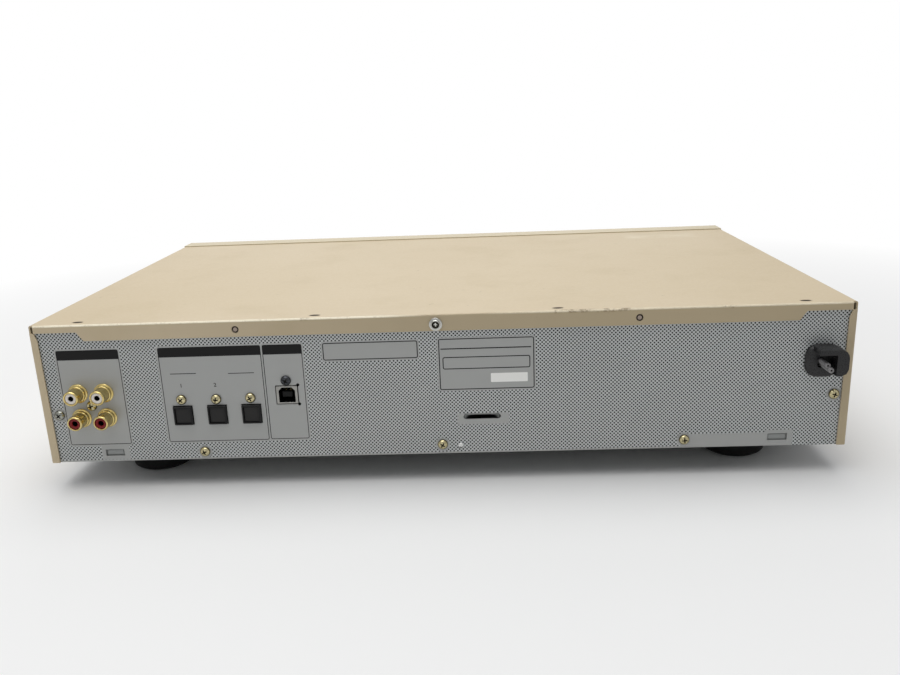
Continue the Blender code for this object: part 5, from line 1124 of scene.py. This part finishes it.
# %% Level knob
level_centre = middle("level_knob")
line_x, line_z = level_centre.x, level_centre.z
level_profile = [
    (-9.6, 0.0), (-9.6, 2.0), (1.8, 2.0), (1.8, 6.0), (0.5, 6.0), (0.5, 7.1), (0.8, 7.4),
    (6.4, 7.4), (6.6, 7.15), (6.9, 7.15), (7.1, 7.4), (8.7, 7.35), (9.2, 7.1), (9.5, 6.6),
    (9.5, 0.0),
]
level_root = (line_x, FRONT_Y, line_z)
level = turned("level_knob_turned", level_profile, level_root, (0, -1, 0), 72)
ribs = knurled(level, level_centre, 7.3, FRONT_Y - 5 * MM, FRONT_Y - 2 * MM, 0.05, 0.22)
done(level, champagne_abs, "level_knob", 28)
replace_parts(level, "level_knob")
low = (line_x - 0.5 * MM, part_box("level_knob")[0].y, line_z + 2.6 * MM)
high = (line_x + 0.5 * MM, FRONT_Y - 9.3 * MM, line_z + 6.3 * MM)
pointer = slab("level_pointer", low, high, 0.1 * MM)
done(pointer, dark_print, "level_knob")
print("level ribs", ribs)

# %% [markdown]
# ## Printed symbols on the front
#
# The buttons have the generic signs of a tape or disc transport, silk-screened above them: a
# triangle plays, two bars pause, a square stops, double triangles search and a dot records.
# Each sign is a flat polygon of ink: a filled circle primitive with as many corners as the
# sign, moved to its outline and extruded through the panel's face.


# %% Signs as ink
def sign(name, outline_mm, x, z, material=dark_print):
    """A polygon of ink on the front panel; the outline is seen from the front, right then up."""
    circle = bpy.ops.mesh.primitive_circle_add
    flat = added(circle, name, vertices=len(outline_mm), radius=1 * MM, fill_type="NGON")
    for vertex, (right, up) in zip(flat.data.vertices, outline_mm):
        vertex.co = (x + right * MM, FRONT_Y - INK, z + up * MM)
    edit_all()
    bpy.ops.mesh.extrude_region_move(TRANSFORM_OT_translate={"value": (0, 2 * INK, 0)})
    closed(0.001)
    return done(flat, material)


def box_sign(right, up):
    """The outline of a rectangle, half as wide as right and half as high as up on each side."""
    return [(-right, -up), (right, -up), (right, up), (-right, up)]


def disc(radius_mm, steps=28):
    """The outline of a round sign."""
    turns = [2 * math.pi * i / steps for i in range(steps)]
    return [(radius_mm * math.cos(turn), radius_mm * math.sin(turn)) for turn in turns]


# %% Signs over the keys
POINT_RIGHT = [(-1.3, -1.4), (1.3, 0.0), (-1.3, 1.4)]
POINT_LEFT = [(1.3, -1.4), (-1.3, 0.0), (1.3, 1.4)]
LINE_UP = box_sign(0.45, 1.4)
SIGNS = {
    "play": [(POINT_RIGHT, 0.0, 3.4)],
    "pause": [(LINE_UP, -0.9, 3.4), (LINE_UP, 0.9, 3.4)],
    "stop": [(box_sign(1.3, 1.3), 0.0, 3.4)],
    "rewind": [(POINT_LEFT, -1.3, 3.4), (POINT_LEFT, 1.3, 3.4)],
    "forward": [(POINT_RIGHT, -1.3, 3.4), (POINT_RIGHT, 1.3, 3.4)],
    "record": [(disc(1.5), 0.0, 3.4)],
    "eject": [([(-1.6, -0.4), (1.6, -0.4), (0.0, 1.4)], 0.0, 3.0), (box_sign(1.6, 0.3), 0.0, 1.9)],
}
for key, shapes in SIGNS.items():
    x, top = middle(f"{key}_button").x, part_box(f"{key}_button")[1].z
    for number, (outline, right, up) in enumerate(shapes, 1):
        ink_used = red_print if key == "record" else dark_print
        sign(f"{key}_sign_{number}", outline, x + right * MM, top + up * MM, ink_used)
print("signs", sum(len(shapes) for shapes in SIGNS.values()))

# %% [markdown]
# ## Standby sign and lamp
#
# The power button has the common standby sign, a broken ring with a line, and a small red
# lamp beside it. The ring is a torus with a gap in its top, closed at both ends, and the lamp is
# a spun lens in a black rim.

# %% Standby ring and lamp
power_x, power_z = middle("power_button").x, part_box("power_button")[0].z - 3.6 * MM
form = {"major_segments": 40, "minor_segments": 6, "rotation": (math.pi / 2, 0, 0)}
form |= {"major_radius": 1.4 * MM, "minor_radius": 0.17 * MM}
standby = added(bpy.ops.mesh.primitive_torus_add, "standby_ring", **form)
bpy.ops.object.transform_apply(location=True, rotation=True, scale=True)
edit_faces(standby, lambda face: face.center.z > 0.5 * MM and abs(face.center.x) < 0.65 * MM)
bpy.ops.mesh.delete(type="FACE")
bpy.ops.mesh.select_mode(type="EDGE")
bpy.ops.mesh.select_all(action="SELECT")
bpy.ops.mesh.region_to_loop()
bpy.ops.mesh.fill_holes(sides=12)
bpy.ops.object.mode_set(mode="OBJECT")
flatten = Matrix.Translation((power_x, FRONT_Y, power_z)) @ Matrix.Diagonal((1, 0.3, 1, 1))
standby.data.transform(flatten)
done(standby, dark_print)
sign("standby_line", box_sign(0.2, 0.75), power_x, power_z + 1.15 * MM)
lamp_at = (power_x + 12.5 * MM, FRONT_Y, middle("power_button").z)
dome = [(-0.6, 0.0), (-0.6, 1.1), (0.25, 1.1), (0.55, 0.9), (0.75, 0.5), (0.82, 0.0)]
lens = turned("standby_lens", dome, lamp_at, (0, -1, 0), 24)
done(lens, red_lens, smooth=50)
around = [(-0.6, 1.15), (-0.6, 1.6), (0.2, 1.6), (0.35, 1.45), (0.3, 1.15), (-0.6, 1.15)]
collar = turned("standby_collar", around, lamp_at, (0, -1, 0), 24)
done(collar, black_abs, smooth=40)
print("standby lamp at", [round(value, 4) for value in lamp_at])

# %% [markdown]
# ## Scale of the level knob, and the headphone ring
#
# Eleven short lines go round the level knob, and the plain numbers 0 and 10 stand at their
# ends. The headphone socket has a nickel ring in its mouth.

# %% Ticks, numbers and ring
TO_FRONT = Matrix(((1, 0, 0), (0, 0, -1), (0, 1, 0)))
LAST_TURN = 150
NUMBERS_OUT = 12.0
tick = [(-0.14, 9.0), (0.14, 9.0), (0.14, 10.2), (-0.14, 10.2)]
for number in range(11):
    turn = Matrix.Rotation(math.radians(LAST_TURN - 30 * number), 2)
    sign(f"level_line_{number}", [turn @ Vector(point) for point in tick], line_x, line_z)
for value, turn in (("0", -math.radians(LAST_TURN)), ("10", math.radians(LAST_TURN))):
    across, upward = NUMBERS_OUT * math.sin(turn), NUMBERS_OUT * math.cos(turn) - 0.6
    place = Vector((line_x + across * MM, FRONT_Y - INK, line_z + upward * MM))
    figures(f"level_{value}", value, 1.7, place, TO_FRONT)
phones_at = (middle("phones_jack").x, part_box("phones_jack")[0].y, middle("phones_jack").z)
lip = [(-1.5, 3.3), (-1.5, 4.2), (0.1, 4.4), (0.3, 4.2), (0.35, 3.7), (0.2, 3.35), (-1.5, 3.3)]
ring = turned("phones_ring", lip, phones_at, (0, -1, 0), 40)
done(ring, nickel, smooth=40)
print("level lines", number + 1)

# %% [markdown]
# ## Feet
#
# The deck stands on four round feet of moulded plastic with a rubber ring below. The foot has
# a stepped side and a waist at the top, all in one spun profile, and it is modelled once and
# copied. The rubber ring is a profile of its own.

# %% Feet
foot_profile = [
    (3.0, 0.0), (3.0, 9.0), (1.0, 9.0), (1.0, 16.2), (1.3, 16.9), (2.0, 17.4), (9.6, 17.9),
    (10.0, 17.6), (10.5, 17.5), (10.9, 17.8), (11.3, 18.0), (14.9, 18.0), (15.5, 17.7),
    (15.8, 17.0), (15.8, 2.5), (18.4, 2.5), (18.6, 2.2), (18.6, 0.0),
]
pad_profile = [
    (0.0, 10.0), (0.0, 14.8), (0.3, 15.4), (0.9, 15.6), (1.05, 15.6), (1.05, 9.2), (0.4, 9.3),
    (0.0, 10.0),
]
foot = turned("foot_master", foot_profile, (0, 0, 0), (0, 0, 1), 64)
pad = turned("pad_master", pad_profile, (0, 0, 0), (0, 0, 1), 64)
for number in (1, 2, 3, 4):
    under = middle(f"foot_{number}")
    move = Matrix.Translation((under.x, under.y, 0))
    whole = copied(foot, f"foot_shell_{number}", move)
    done(whole, black_abs, smooth=35)
    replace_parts(whole, f"foot_{number}")
    done(copied(pad, f"foot_pad_{number}", move), rubber, smooth=35)
print("feet", number)

# %% [markdown]
# ## Side and underside screws
#
# The cover is also held by two flanged screws on each side, and the pan by pan-head screws
# from below. These faces aren't in the photograph. The screws are the ones already modelled,
# turned to face their surface.

# %% Screws of the sides and the underside, in millimetres
SIDE_SCREWS = ((-1, -62), (-1, 78), (1, -62), (1, 78))
SIDE_HEIGHT = 30
UNDER_SCREWS = ((-120, 110), (120, 110), (-120, -100), (120, -100), (0, 55), (-84, -45))
for number, (side, y) in enumerate(SIDE_SCREWS, 1):
    face_out = Matrix.Rotation(math.radians(-90 * side), 4, "Z")
    move = Matrix.Translation((side * HALF, y * MM, BASE_Z + SIDE_HEIGHT * MM)) @ face_out
    screw = copied(cap, f"side_screw_{number}", move @ Matrix.Translation(-cap_seat))
    if "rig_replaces" in screw:
        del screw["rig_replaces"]
    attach(screw, "cabinet")
face_down = Matrix.Rotation(math.radians(-90), 4, "X")
for number, (x, y) in enumerate(UNDER_SCREWS, 1):
    move = Matrix.Translation((x * MM, y * MM, BASE_Z)) @ face_down
    done(copied(master, f"under_screw_{number}", move), yellow_zinc)
print("side", len(SIDE_SCREWS), "underside", len(UNDER_SCREWS))

# %% [markdown]
# ## Closing measurements
#
# The pieces that only served as masters for copies go first. Both boxes are kept in a table,
# and the last line prints the visual one.

# %% Sizes and finish
for piece in (master, barrel, sleeve, foot, pad):
    bpy.data.objects.remove(piece, do_unlink=True)
bpy.context.scene.view_settings.view_transform = "Standard"
boxes = {"cad": [list(corner) for corner in cad_box], "visual": [list(corner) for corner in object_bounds()]}
print("visual box", boxes["visual"])
